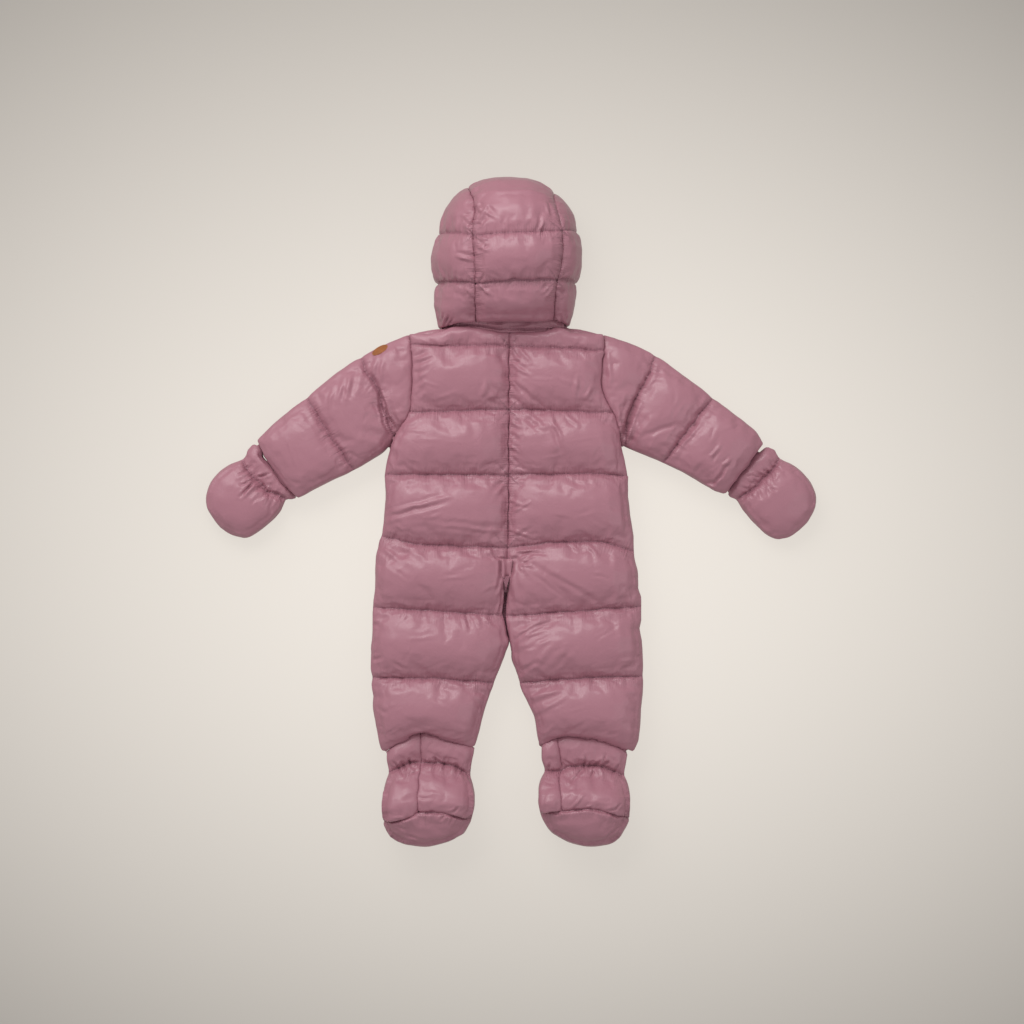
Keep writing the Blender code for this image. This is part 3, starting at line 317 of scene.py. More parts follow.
def outline_of(node, level):
    """The edge of a laid panel in plan, as short lines on a smooth curve through its corners."""
    if node in OUTLINES:
        return OUTLINES[node]
    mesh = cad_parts[node].data
    points = coordinates(mesh)
    flat = np.abs(points[:, 2] - level) < 0.05
    count, ends = {}, {}
    for face in mesh.polygons:
        if all(flat[index] for index in face.vertices):
            corners = [tuple(np.round(points[index, :2], 2)) for index in face.vertices]
            for start, end in zip(corners, corners[1:] + corners[:1]):
                key = (min(start, end), max(start, end))
                count[key] = count.get(key, 0) + 1
    edges = [key for key, times in count.items() if times == 1 and key[0] != key[1]]
    for start, end in edges:
        ends.setdefault(start, []).append(end)
        ends.setdefault(end, []).append(start)
    lines = []
    for start, end in edges:
        run = np.array(end) - start
        size = np.linalg.norm(run)
        slopes = []
        for here, other, way in ((start, end, 1.0), (end, start, -1.0)):
            beyond = [spot for spot in ends[here] if spot != other]
            slope = run / size
            if len(beyond) == 1:
                turn = way * (np.array(here) - beyond[0])
                turn /= np.linalg.norm(turn)
                if turn @ slope > SHARP_TURN:
                    slope = (turn + slope) / np.linalg.norm(turn + slope)
            slopes.append(slope * size)
        share = np.linspace(0.0, 1.0, max(1, min(4, int(size / 2.5))) + 1)[:, None]
        bend = slopes[0] * share * (1.0 - share) ** 2 - slopes[1] * share ** 2 * (1.0 - share)
        curve = np.array(start) + run * share ** 2 * (3.0 - 2.0 * share) + bend
        lines += list(zip(curve[:-1], curve[1:]))
    OUTLINES[node] = lines
    return lines


def pick(piece):
    """Selects one object alone."""
    bpy.ops.object.select_all(action="DESELECT")
    piece.select_set(True)
    bpy.context.view_layer.objects.active = piece


def shell_from(node, voxel):
    """A merged and evenly meshed copy of a CAD node, as a new object."""
    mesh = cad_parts[node].data.copy()
    mesh.materials.clear()
    piece = bpy.data.objects.new(node + "_cloth", mesh)
    bpy.context.collection.objects.link(piece)
    pick(piece)
    bpy.ops.object.mode_set(mode="EDIT")
    bpy.ops.mesh.select_all(action="SELECT")
    bpy.ops.mesh.remove_doubles(threshold=0.00001)
    bpy.ops.object.mode_set(mode="OBJECT")
    even = piece.modifiers.new("even", "REMESH")
    even.mode = "VOXEL"
    even.voxel_size = voxel
    bpy.ops.object.modifier_apply(modifier="even")
    return piece


DOWN_CLOTH = {
    "quality": 5, "mass": 0.25, "vertex_group_mass": "held", "use_pressure": True,
    "tension_stiffness": 12.0, "compression_stiffness": 12.0, "shear_stiffness": 6.0,
    "bending_stiffness": 0.6, "air_damping": 2.0,
}


def fill_with_down(pieces, pressure, ease, reach, free_of):
    """Blows the pieces up together between the points that are held, then caps each move.

    ease is how much larger the cloth is than its place, reach the most that a point may move, and
    free_of the distance of each point to the panel's edge, near which it stays put in plan.
    """
    before = []
    for piece in pieces:
        before.append(coordinates(piece.data))
        cloth = piece.modifiers.new("down", "CLOTH")
        for name, value in DOWN_CLOTH.items():
            setattr(cloth.settings, name, value)
        cloth.settings.uniform_pressure_force = pressure
        cloth.settings.shrink_min = -ease
        cloth.settings.effector_weights.gravity = 0.0
        cloth.collision_settings.use_collision = False
        cloth.point_cache.frame_start = 1
        cloth.point_cache.frame_end = FILL_FRAMES
    scene = bpy.context.scene
    for number in range(1, FILL_FRAMES + 1):
        scene.frame_set(number)
    view = bpy.context.evaluated_depsgraph_get()
    moved = [coordinates(piece.evaluated_get(view).data) for piece in pieces]
    for index, piece in enumerate(pieces):
        piece.modifiers.clear()
        step = moved[index] - before[index]
        length = np.linalg.norm(step, axis=1)
        step *= (reach * np.tanh(length / reach) / np.maximum(length, 1e-6))[:, None]
        step[:, :2] *= ramp(free_of[index] / 12.0)[:, None]
        step[:, 2] *= np.clip(free_of[index] / 10.0, 0.25, 1.0)
        set_coordinates(piece.data, before[index] + step)
    scene.frame_set(1)


def refine(piece):
    """One subdivision, applied."""
    pick(piece)
    finer = piece.modifiers.new("finer", "SUBSURF")
    finer.levels = 1
    finer.render_levels = 1
    bpy.ops.object.modifier_apply(modifier="finer")


def press_folds(points, folds):
    """How far folds, each (x, y, x, y, depth, half width), press points in, with raised lips."""
    drop = np.zeros(len(points))
    for *line, depth, half in folds:
        away, share = away_from(points, line[:2], line[2:])
        near = away < 4.0 * half
        across = away[near] / half
        fade = np.sin(math.pi * (0.12 + 0.76 * share[near])) ** 1.2
        shape = bell(across) - 0.42 * bell((across - 1.9) / 0.9)
        drop[near] += depth * fade * shape
    return drop


def puckers(line, side, spacing, length, depth, seed, width=1.0):
    """Short folds that run out from a seam, to one side (1 or -1) or to both (0)."""
    chance = np.random.RandomState(seed)
    folds = []
    for start, end in zip(line[:-1], line[1:]):
        start, end = np.array(start, float), np.array(end, float)
        size = np.linalg.norm(end - start)
        along = (end - start) / size
        normal = np.array((-along[1], along[0]))
        place = spacing * chance.uniform(0.3, 0.9)
        while place < size:
            for way in ((side,) if side else (1, -1)):
                reach = length * chance.uniform(0.35, 1.25)
                lean = chance.uniform(-0.55, 0.55)
                foot = start + along * (place + spacing * chance.uniform(-0.25, 0.25))
                tip = foot + (normal * way + along * lean) * reach
                foot = foot - normal * way * reach * 0.12
                deep = depth * chance.uniform(0.3, 1.25)
                half = width * chance.uniform(1.5, 2.9)
                if chance.uniform() < 0.8:
                    folds.append((foot[0], foot[1], tip[0], tip[1], deep, half))
            place += spacing * chance.uniform(0.65, 1.4)
    return folds


def along_line(line, share):
    """The place at a share of a line of points."""
    line = np.array(line, float)
    reach = np.concatenate(([0.0], np.cumsum(np.linalg.norm(np.diff(line, axis=0), axis=1))))
    return np.array([np.interp(share * reach[-1], reach, line[:, part]) for part in range(2)])


def slack(upper, lower, number, depth, seed):
    """Long faint wrinkles, raised or pressed in, in the row between two lines."""
    chance = np.random.RandomState(seed)
    folds = []
    for _ in range(number):
        share, down = chance.uniform(0.08, 0.92), chance.uniform(0.18, 0.85)
        spots = [(1.0 - down) * along_line(upper, part) + down * along_line(lower, part)
                 for part in (share - 0.05, share, share + 0.05)]
        heading = math.atan2(*(spots[2] - spots[0])[::-1]) + chance.uniform(-0.6, 0.6)
        half_run = np.array((math.cos(heading), math.sin(heading))) * chance.uniform(7.0, 20.0)
        deep = depth * chance.uniform(0.4, 1.2) * chance.choice((-1.0, 1.0))
        ends = (*(spots[1] - half_run), *(spots[1] + half_run))
        folds.append((*ends, deep, chance.uniform(1.5, 2.6)))
    return folds


WANDER_CHANCE = np.random.RandomState(5)
WANDER_WAVES = [(WANDER_CHANCE.uniform(0.0, math.pi), WANDER_CHANCE.uniform(12.0, 36.0),
                 WANDER_CHANCE.uniform(0.0, 6.3), WANDER_CHANCE.uniform(0.0, 6.3)) for _ in range(14)]
WANDER_REACH = 0.15


def wander(spots):
    """How far a hand-guided seam strays in plan, at each of some places."""
    moves = np.zeros((len(spots), 2))
    for turn, long, first, second in WANDER_WAVES:
        phase = (spots[:, 0] * math.cos(turn) + spots[:, 1] * math.sin(turn)) * 2.0 * math.pi / long
        moves += WANDER_REACH * np.sin(np.stack((phase + first, phase + second), axis=1))
    return moves


# How far the top edge of a piece sinks under the hood, by its place across, in millimetres: the
# place, the sink there, and the height from which it starts and over which it grows.
Sink = namedtuple("Sink", "across down start grow")
SINKS = {
    "back_left": Sink((-121, -110, -98, -83, -66, -50), (0, 1.5, 4.5, 6.5, 3, 0), 197, 14),
    "back_right": Sink((45, 62, 70, 83, 95, 107), (0, 3, 4.8, 2.8, 1.5, 0), 197, 14),
    "neck_band": Sink((-66, -50, 45, 60), (3, 0.4, 0.4, 3), 214, 12),
}
SINKS["front_left"] = SINKS["back_left"]
SINKS["front_right"] = SINKS["back_right"]


# How edges are drawn across, in millimetres: the pieces, the places along, where the edge runs at
# each, how far it is drawn there, and how softly.
Draw = namedtuple("Draw", "nodes along at move soft")
LEFTS, RIGHTS = ("back_left", "front_left"), ("back_right", "front_right")
DRAWS = (
    # The slit at the seat, left and right side.
    Draw(("back_left",), (-159.9, -151.5, -141.3, -130.5, -121, -108.5, -93.5, -84.1),
         (-5.1, -5.7, -6.9, -9.3, -11.1, -9.9, -8.1, -7.5), (0, 0.4, -0.6, -1.2, -3.8, -0.2, 1, 0), 10),
    Draw(("back_right",), (-159.9, -151.5, -141.3, -130.5, -121, -108.5, -93.5, -84.1),
         (-0.9, -0.9, -3.3, -5.7, -6.3, -5.7, -5.1, -5.1), (0, -1.3, -3.2, -3.8, -3.8, -1.8, -0.6, 0),
         10),
    # The inner side of each leg.
    Draw(LEFTS,
         (-294.3, -283.5, -264.3, -216.3, -206.7, -197.1, -177.9, -168.3, -159.9, -155.1, -146.7),
         (-48.3, -44.7, -39.9, -26.7, -23.1, -19.5, -12.3, -8.7, -5.1, -3.9, -5.1),
         (0, -2.4, -1.2, -1.2, 0, -1.2, -1.2, 0, 2.4, 2.6, 0), 12),
    Draw(RIGHTS,
         (-294.3, -283.5, -264.3, -245.1, -230.7, -206.7, -197.1, -187.5, -177.9, -168.3, -159.9,
          -155.1, -146.7),
         (35.7, 35.7, 30.9, 28.5, 20.1, 10.5, 8.1, 5.7, 2.1, 0.9, -0.3, -0.9, -1.5),
         (0, -1.2, 0, 2, 0.5, 0, 2.4, 2.4, 1.2, 1.2, -1, -1, 0), 12),
    # The outer side of each half.
    Draw(LEFTS,
         (-293.1, -283.5, -273.9, -264.3, -249.9, -235.5, -221.1, -206.7, -187.5, -168.3, -149.1,
          -129.9, -120.3, -105.9, -91.5, -43.5, -33.9, -24.3, -5.1, 14.1, 23.7, 42.9),
         (-149.1, -156.3, -158.7, -161.1, -163.5, -164.7, -164.7, -167.1, -168.3, -167.1, -167.1,
          -165.9, -165.9, -165.9, -163.5, -159.9, -158.7, -155.1, -152.7, -151.5, -150.3, -151.5),
         (0, -2.4, -1.2, 0, 1.8, 2.4, 4.4, 1.4, 1.2, 3.4, 1.2, 0, -1.2, -1.2, 0, 0, -1.2, 0, 1.2, 2.4,
          2.4, 0),
         16),
    Draw(RIGHTS,
         (-293.1, -283.5, -273.9, -264.3, -235.5, -216.3, -197.1, -187.5, -168.3, -153.9, -139.5,
          -129.9, -115.5, -101.1, -91.5, -77.1, -53.1, -29.1, -14.7, -5.1, 18.9, 33.3, 42.9),
         (136.5, 147.3, 150.9, 152.1, 154.5, 156.9, 156.9, 156.9, 155.7, 155.7, 153.3, 154.5, 154.5,
          154.5, 150.9, 149.7, 146.1, 146.1, 142.5, 141.3, 138.9, 138.9, 138.9),
         (-1, 1.2, 2.4, 1.2, -2.4, -1.2, 0, -1.2, -2.4, -1.2, -2.4, 0, 1.2, 2.4, 0, 1.2, 1.2, 2.4, 1.2,
          0, -1.2, 0, 1),
         16),
    # The gap at the left cuff's outer end.
    Draw(("mitten_left_back", "mitten_left_palm"), (56.1, 60.9, 66.9, 72.9),
         (-291.9, -294.9, -298.5, -301.5), (0, -5.2, -5.2, 0), 3),
)


def drawn(points, node):
    """How far each point goes sideways with the edges of its piece."""
    moves = np.zeros(len(points))
    for draw in DRAWS:
        if node in draw.nodes:
            off = (points[:, 0] - np.interp(points[:, 1], draw.along, draw.at)) / draw.soft
            move = np.interp(points[:, 1], draw.along, draw.move, left=0.0, right=0.0)
            moves += move * bell(off)
    return moves


def settle(points, node):
    """How far each point sinks towards the hem, for the pieces that lie under the hood."""
    if node not in SINKS:
        return 0.0
    sink = SINKS[node]
    share = ramp((points[:, 1] - sink.start) / sink.grow)
    return np.interp(points[:, 0], sink.across, sink.down) * share


# A panel: its CAD node, the height of its plain face, which way its quilting looks (1 up, -1
# down), the size of its mesh, its quilt lines and its folds.
Panel = namedtuple("Panel", "node level way voxel lines folds")


def solids_beside(node):
    """A search tree of all the padded solids but one, in millimetres."""
    points, faces = [], []
    for name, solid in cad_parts.items():
        if name != node and not name.startswith(("zip_", "shoulder_")):
            start = len(points)
            points += [tuple(point) for point in coordinates(solid.data)]
            faces += [tuple(start + index for index in face.vertices) for face in solid.data.polygons]
    return BVHTree.FromPolygons(points, faces)


def meeting(points, facing, upright, node):
    """For each wall point, 1 where a neighbour stands within reach of it, and half the gap to it."""
    tree = solids_beside(node)
    sewn, gap = np.zeros(len(points)), np.zeros(len(points))
    for index in np.flatnonzero(upright > 0.1):
        way = Vector((facing[index, 0], facing[index, 1], 0.0)).normalized()
        spot, _, _, away = tree.ray_cast(Vector(points[index]) - way, way, JOIN_REACH)
        if spot is not None:
            sewn[index] = 1.0
            gap[index] = max(0.5 * (away - 1.0) + 0.1, 0.0)
    return sewn, gap


# What is held while a panel is filled, in millimetres: how far up from the plain face, how near a
# seam, and how near the edge; and how much flatter it starts, over how wide a rise from a seam.
HELD_RISE = 1.5
HELD_SEAM = 0.65 * VOXEL / MM
HELD_EDGE = 2.2
FLATTER = 0.12
BAFFLE_RISE = 12.0
# Where a panel's padded side begins above its plain face and over how much height, how wide its
# walls are, how much less a free wall strays than a seam, and how much painted shade darkens the
# seams and the walls that meet a neighbour.
PADDED_FROM = 2.0
PADDED_OVER = 6.0
WALL_WIDE = 6.0
WALL_STEADY = 0.8
SEAM_PAINTED_SHADE = 0.6
WALL_PAINTED_SHADE = 0.35


def hold(piece, held):
    """Marks the points of a piece that stay put while it is filled."""
    group = piece.vertex_groups.new(name="held")
    group.add([int(index) for index in np.flatnonzero(held)], 1.0, "REPLACE")


def begin_panel(panel):
    """The evenly meshed copy of a panel, a little flatter, with its seams and plain face held."""
    piece = shell_from(panel.node, panel.voxel)
    points = coordinates(piece.data)
    edge = away_from_lines(points, outline_of(panel.node, panel.level))
    seam = away_from_lines(points, panel.lines)
    raised = (points[:, 2] - panel.level) * panel.way
    hold(piece, (raised < HELD_RISE) | (seam < HELD_SEAM) | ((edge < HELD_EDGE) & (raised > WALL_WIDE)))
    flatter = np.maximum(raised, 0.0) * FLATTER * ramp(seam / BAFFLE_RISE)
    points[:, 2] -= flatter * panel.way
    set_coordinates(piece.data, points)
    return piece, edge


# Seams besides its quilt lines that gather a panel's cloth, by its node.
EXTRA_SEAMS = {}
# The fine pleats at a seam, in millimetres: how wide and long one is, how soon they fade off it,
# and how wide the painted shade along the seam itself is.
PLEAT_WIDE = 2.6
PLEAT_LONG = 26.0
PLEAT_FADE = 7.0
SEAM_SHADE_WIDE = 0.9


def pleats_along(points, lines):
    """The place along the nearest of some lines, how far off it is and which line, at each point."""
    least, along, which = np.full(len(points), 1e6), np.zeros(len(points)), np.zeros(len(points))
    for number, line in enumerate(lines):
        done = 0.0
        for start, end in zip(line[:-1], line[1:]):
            size = math.dist(start, end)
            away, share = away_from(points, start, end)
            closer = away < least
            least[closer] = away[closer]
            along[closer] = (done + share * size)[closer]
            which[closer] = number
            done += size
    return along, least, which


def mark_cloth(piece, sewn, pleats):
    """Marks on a mesh the painted shade at its seams and meeting walls, and where along and off a seam its
    fine pleats lie.
    """
    along, off, which = pleats
    # The 'sewn' attribute holds painted shade for the cloth's material.
    mask = piece.data.attributes.new("sewn", "FLOAT", "POINT")
    mask.data.foreach_set("value", ramp(sewn))
    gather = piece.data.attributes.new("gather", "FLOAT", "POINT")
    gather.data.foreach_set("value", np.exp(-off / PLEAT_FADE))
    pleat = piece.data.attributes.new("pleat", "FLOAT_VECTOR", "POINT")
    place = np.stack((along / PLEAT_WIDE, off / PLEAT_LONG, 3.7 * which), axis=1)
    pleat.data.foreach_set("vector", place.ravel())


def sew_panel(piece, panel, groove, spread):
    """Subdivides a filled panel, draws its edges up to its neighbours and sews in its seams.

    groove is how deep a seam draws the cloth in, and spread how wide.
    """
    refine(piece)
    points = coordinates(piece.data)
    facing = normals_of(piece.data)
    edge = away_from_lines(points, outline_of(panel.node, panel.level))
    seam = away_from_lines(points, panel.lines)
    raised = (points[:, 2] - panel.level) * panel.way
    pleats = pleats_along(points, panel.lines + EXTRA_SEAMS.get(panel.node, ()))
    free = ramp((raised - PADDED_FROM) / PADDED_OVER) * ramp(facing[:, 2] * panel.way * 2.0)
    drop = press_folds(points, panel.folds) * np.clip(edge / 3.0, 0.25, 1.0)
    drop += groove * bell(seam / spread)
    points[:, 2] -= drop * free * panel.way
    upright = ramp(1.3 - 1.7 * np.abs(facing[:, 2])) * (edge < WALL_WIDE)
    foot = nearest_on_lines(points, outline_of(panel.node, panel.level))
    out = foot - points[:, :2] + facing[:, :2] * WALL_REACH
    points[:, :2] += out * upright[:, None]
    joined, gap = meeting(points, facing, upright, panel.node)
    points[:, :2] += facing[:, :2] * (gap * upright)[:, None]
    points[:, 1] -= settle(points, panel.node)
    points[:, 0] += drawn(points, panel.node)
    points[:, :2] += wander(points) * (1.0 - WALL_STEADY * upright * (1.0 - joined))[:, None]
    points[:, 2] = np.maximum(points[:, 2], 0.0)
    set_coordinates(piece.data, points)
    # Painted shade: the cloth is darkened along each quilt line and on walls that meet a neighbour, where
    # the grooves and gaps fall in shade.
    near = SEAM_PAINTED_SHADE * bell(seam / SEAM_SHADE_WIDE) + WALL_PAINTED_SHADE * upright * joined * (raised > 4.0)
    mark_cloth(piece, near, pleats)
    bpy.ops.object.shade_smooth()
    piece.data.materials.append(SHELL)


def padded_panels(panels, pressure=4.0, ease=0.02, reach=9.0, groove=2.3, spread=1.4):
    """Fills panels that lie side by side, and sews them."""
    begun = [begin_panel(panel) for panel in panels]
    fill_with_down([piece for piece, _ in begun], pressure, ease, reach, [edge for _, edge in begun])
    for (piece, _), panel in zip(begun, panels):
        sew_panel(piece, panel, groove, spread)
    return [piece for piece, _ in begun]


DRESSED = {}


def dress_padded(piece, node):
    """Puts a padded piece in the place of its solid, to ride on the suit."""
    DRESSED[node] = piece
    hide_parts(node)
    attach(piece, "suit")


def dress_panels(panels, fill, **filling):
    """Fills, sews and dresses panels that lie side by side."""
    for piece, panel in zip(padded_panels(panels, **filling), panels):
        dress_padded(piece, panel.node)


BACK_LEFT_LINES = (
    ((-2.5, 199), (-119, 199.5)),
    ((-2.5, 122.5), (-121.5, 119)),
    ((-3, 44), (-151.5, 44.5)),
    ((-4, -43), (-61.5, -41), (-115.5, -38.5), (-155, -29)),
    ((-7.5, -124), (-115.5, -116.5), (-164.5, -114.5)),
    ((-20.5, -204.5), (-92.5, -198.5), (-167.5, -198.5)),
)
BACK_RIGHT_LINES = (
    ((-2.5, 199), (111.5, 193)),
    ((-2.5, 122.5), (121.5, 118.5)),
    ((-3, 44), (95.5, 45.5), (139, 43)),
    ((-4, -43), (46.5, -36.5), (107.5, -35.5), (145.5, -47.5)),
    ((-3, -124.5), (154.5, -113)),
    ((9.5, -204.5), (81.5, -198.5), (157.5, -196.5)),
)
EXTRA_SEAMS["back_left"] = EXTRA_SEAMS["back_right"] = (((-2.5, 214.0), (-3.0, 44.0), (-4.0, -43.0)),)
CENTRE_SEAM = ((-2.5, 214), (-2.5, 122.5), (-3, 44), (-4, -43))
BACK_LEFT_FOLDS = [
    (-118, 184.5, -97.5, 191.5, 1.4, 2.4), (-118, 175, -94, 182, 1.6, 2.2),
    (-118, 164, -100, 170, 1.4, 2.4), (-115.5, 151, -103.5, 159.5, 1.3, 2.2),
    (-113, 137.5, -103.5, 147.5, 1.2, 2.4), (-36.5, 136.5, -28, 153.5, -1.6, 3.2),
    (-7.5, 123.5, -30.5, 134, 1.4, 3), (-6.5, 131.5, -25.5, 152, 1.6, 3.4),
    (-14.5, 195.5, -10, 177.5, 2.2, 4.5), (-128.5, 101.5, -108.5, 111.5, -1.2, 3),
    (-49.5, 112.5, -42.5, 86, 1, 4), (-13.5, 49, -4, 55, 1.6, 2.6),
    (-145.5, -1, -73.5, 17.5, -1.6, 2.6), (-143, -5, -76, 11.5, 1.2, 3),
    (-97.5, -10, -7.5, -18.5, 0.9, 2.8), (-85.5, -18.5, -13.5, -28, 0.8, 2.6),
    (-150.5, -12.5, -131, -6.5, -1.3, 2.4), (-7.5, 40.5, -23, 25, 1.3, 2.6),
    (-5, 31, -17, 13, 1.1, 2.6), (-154, -42.5, -132.5, -59, -1.6, 2.8),
    (-134.5, -44.5, -108.5, -61.5, 1.2, 3.6), (-30.5, -43.5, -17, -59, -1.4, 2.2),
    (-25.5, -41, -12.5, -54.5, 1.8, 2.6), (-14.5, -78.5, -17, -95.5, 1.6, 1.8),
    (-58, -120.5, -53, -140.5, -1.7, 2), (-54.5, -121.5, -48.5, -138.5, 1.2, 2.2),
    (-43.5, -120.5, -37.5, -137, -1.5, 2), (-35, -120.5, -22, -137, -1.3, 2.2),
    (-77, -120.5, -73.5, -134.5, -1, 2.4), (-40, -211.5, -20.5, -228.5, 1.6, 3.2),
    (-42.5, -224.5, -26.5, -240.5, 1.3, 3), (-127.5, -265.5, -89, -258.5, -1, 2.8),
    (-162.5, -232, -150.5, -240.5, 1.4, 2.8), (-168.5, -137, -158.5, -134.5, 1.8, 2.2),
    (-168.5, -178, -156.5, -173, 1.8, 2.4), (-24.5, -49, -16.5, -55.5, 1.8, 1.8),
    (-26.5, -43, -23.5, -48.5, -1.5, 1.6), (-18.5, -55, 1, -55.5, 2.4, 1.5),
    (-13, -58, -12.5, -79.5, 3, 1.7), (-12.5, -82, -17.5, -100, -1.4, 1.6),
    (-12.5, -91.5, -11.5, -107, 2.2, 1.4), (-11.5, -107, -10.5, -121.5, 2.4, 1.4),
    (-4, 212, -10, 199, 1.5, 1.5),
]
BACK_RIGHT_FOLDS = [
    (1, 194, 10.5, 178.5, -1.5, 1.8), (10.5, 194, 23.5, 177.5, -1.6, 2), (2, 175, 23.5, 161.5, -1.6, 2),
    (1, 182, 15.5, 170, 1.3, 2.2), (-0.5, 154.5, 9.5, 145, -1.4, 1.8), (3.5, 152, 35.5, 127, 1.8, 2.8),
    (-1.5, 139, 17.5, 123.5, 1.4, 2.6), (75.5, 137.5, 79, 160.5, -1.5, 2.4),
    (88.5, 135.5, 95.5, 148.5, -1.2, 2.2), (20, 117.5, 39.5, 99.5, -1.7, 2.2),
    (15.5, 113.5, 34.5, 94.5, 1, 2.4), (44, 119.5, 59.5, 86, -1.8, 2.4), (47.5, 100.5, 62, 67, 1.6, 3),
    (64.5, 117.5, 80, 101.5, -1.8, 2), (-0.5, 109, 9.5, 100.5, -1.6, 1.8), (-0.5, 94.5, 8, 85, 1.5, 2),
    (-0.5, 79, 8, 71.5, -1.5, 1.8), (-0.5, 67, 7, 58.5, 1.4, 1.8), (-1.5, 55, 25, 50, 1.4, 2.6),
    (-1.5, 14, 13, 8, -1.4, 1.8), (1, -0.5, 22.5, 11.5, -1.6, 1.8), (-0.5, 5.5, 17.5, 5.5, 1.4, 1.8),
    (-0.5, -20.5, 22.5, -29, -1.4, 1.8), (-1.5, -31.5, 23.5, -19.5, 1.4, 2.2),
    (58.5, 40.5, 89.5, 29.5, 0.9, 3), (7, -47, 41.5, -42.5, -1.8, 1.8),
    (8, -50.5, 40.5, -49.5, 1.5, 1.8), (11.5, -59, 22.5, -78.5, -1.2, 2.2),
    (22.5, -61.5, 106.5, -108.5, 1.3, 3), (70.5, -37.5, 79, -47, -1.5, 1.8),
    (91, -38.5, 103, -53, -1.6, 2), (1, -76, 5.5, -103.5, -1.6, 2.4),
    (9.5, -168.5, 45.5, -146.5, 0.9, 2.6), (9.5, -191, 31, -179, 1.4, 2.6),
    (45.5, -191, 74, -160, 1, 3.4), (25, -187.5, 53.5, -154, -0.9, 3.4),
    (9.5, -214, 53.5, -205.5, 1.5, 2.6), (15.5, -224.5, 58.5, -211.5, -1.5, 2.4),
    (19, -233, 61, -216.5, 1.5, 2.6), (23.5, -242.5, 62, -222.5, -1.2, 2.4),
    (145, -226, 155.5, -233, 1.2, 2.6), (-1.5, -55.5, 8, -55.5, 2.4, 1.5),
    (8, -56.5, 29, -48, -1.6, 1.5), (16, -58, 28, -52, -1.4, 1.5), (10, -59.5, 20, -61.5, 1.8, 1.5),
    (13, -61.5, 27, -66.5, -1.5, 1.4), (9.5, -64.5, 13, -70, -1.6, 1.6), (2, -58, 0, -79.5, 3, 1.6),
    (29, -75.5, 58.5, -99.5, 1.1, 2), (6, -152, 23, -139.5, 1.8, 1.8),
    (23, -139.5, 47.5, -130.5, 1.4, 1.8), (20, -149, 41.5, -140.5, -1.3, 1.6),
    (2, 212, 8, 199, 1.6, 1.5),
]
HEMS = {
    "left": ((-52, -283), (-108, -272), (-150, -290)),
    "right": ((38, -290), (84, -274), (140, -288)),
}
for lines, folds, seed, side in ((BACK_LEFT_LINES, BACK_LEFT_FOLDS, 11, "left"),
                                 (BACK_RIGHT_LINES, BACK_RIGHT_FOLDS, 61, "right")):
    for index, line in enumerate(lines):
        folds += puckers(line, 0, spacing=21.0, length=13.0, depth=0.75, seed=seed + index)
        below = lines[index + 1] if index + 1 < len(lines) else HEMS[side]
        folds += slack(line, below, number=6, depth=0.5, seed=400 + seed + index)
BACK_LEFT_FOLDS += puckers(CENTRE_SEAM, -1, spacing=12.0, length=9.0, depth=0.8, seed=31)
BACK_RIGHT_FOLDS += puckers(CENTRE_SEAM, 1, spacing=9.0, length=13.0, depth=1.1, seed=32)
BACKS = (
    Panel("back_left", BACK_PLANE, 1, VOXEL, BACK_LEFT_LINES, BACK_LEFT_FOLDS),
    Panel("back_right", BACK_PLANE, 1, VOXEL, BACK_RIGHT_LINES, BACK_RIGHT_FOLDS),
)
dress_panels(BACKS, 0.7)

# ---------------------------------------------------------------- sleeves
# Each sleeve has an upper and an under half of the same padded nylon, with two quilt lines across
# it. The first line and the armhole draw the cloth into deep folds at the armpit.
SLEEVE_PLANE = 24.3
SLEEVE_LEFT_LINES = (
    ((-140.5, 89.5), (-148, 109), (-155, 124.5), (-158.5, 146.5), (-172, 164), (-180.5, 184.5)),
    ((-188.5, 50.5), (-214, 86), (-245, 136.5)),
)
SLEEVE_RIGHT_LINES = (
    ((136.5, 78.5), (138.5, 110), (147.5, 133), (157, 148.5), (166, 169), (172.5, 187)),
    ((182, 59), (206, 91), (226.5, 117.5), (241.5, 136)),
)
SLEEVE_LEFT_FOLDS = [
    (-160, 148.5, -152, 128.5, 2.6, 1.6), (-152, 128.5, -145, 109, 3, 1.6),
    (-146, 111.5, -138.5, 98, 3, 1.7), (-158, 140.5, -157, 124.5, 2.2, 1.6),
    (-157.5, 128, -151.5, 104, 2.6, 1.6), (-152.5, 106.5, -143.5, 90.5, 2.6, 1.7),
    (-137, 104, -144.5, 129.5, 1.6, 2.2), (-161, 185.5, -166, 161.5, -1.6, 2.8),
    (-154, 183.5, -156.5, 157, -1.6, 2.6), (-169.5, 167.5, -157.5, 143.5, 1.6, 2.6),
    (-191, 163, -198.5, 131.5, -1.4, 2.8), (-199.5, 157, -209, 130.5, -1.4, 2.6),
    (-211.5, 146, -217.5, 125.5, -1.3, 2.6), (-185, 167.5, -191, 139, 1.2, 3),
    (-140.5, 196.5, -137, 187, -1.2, 2.2),
]
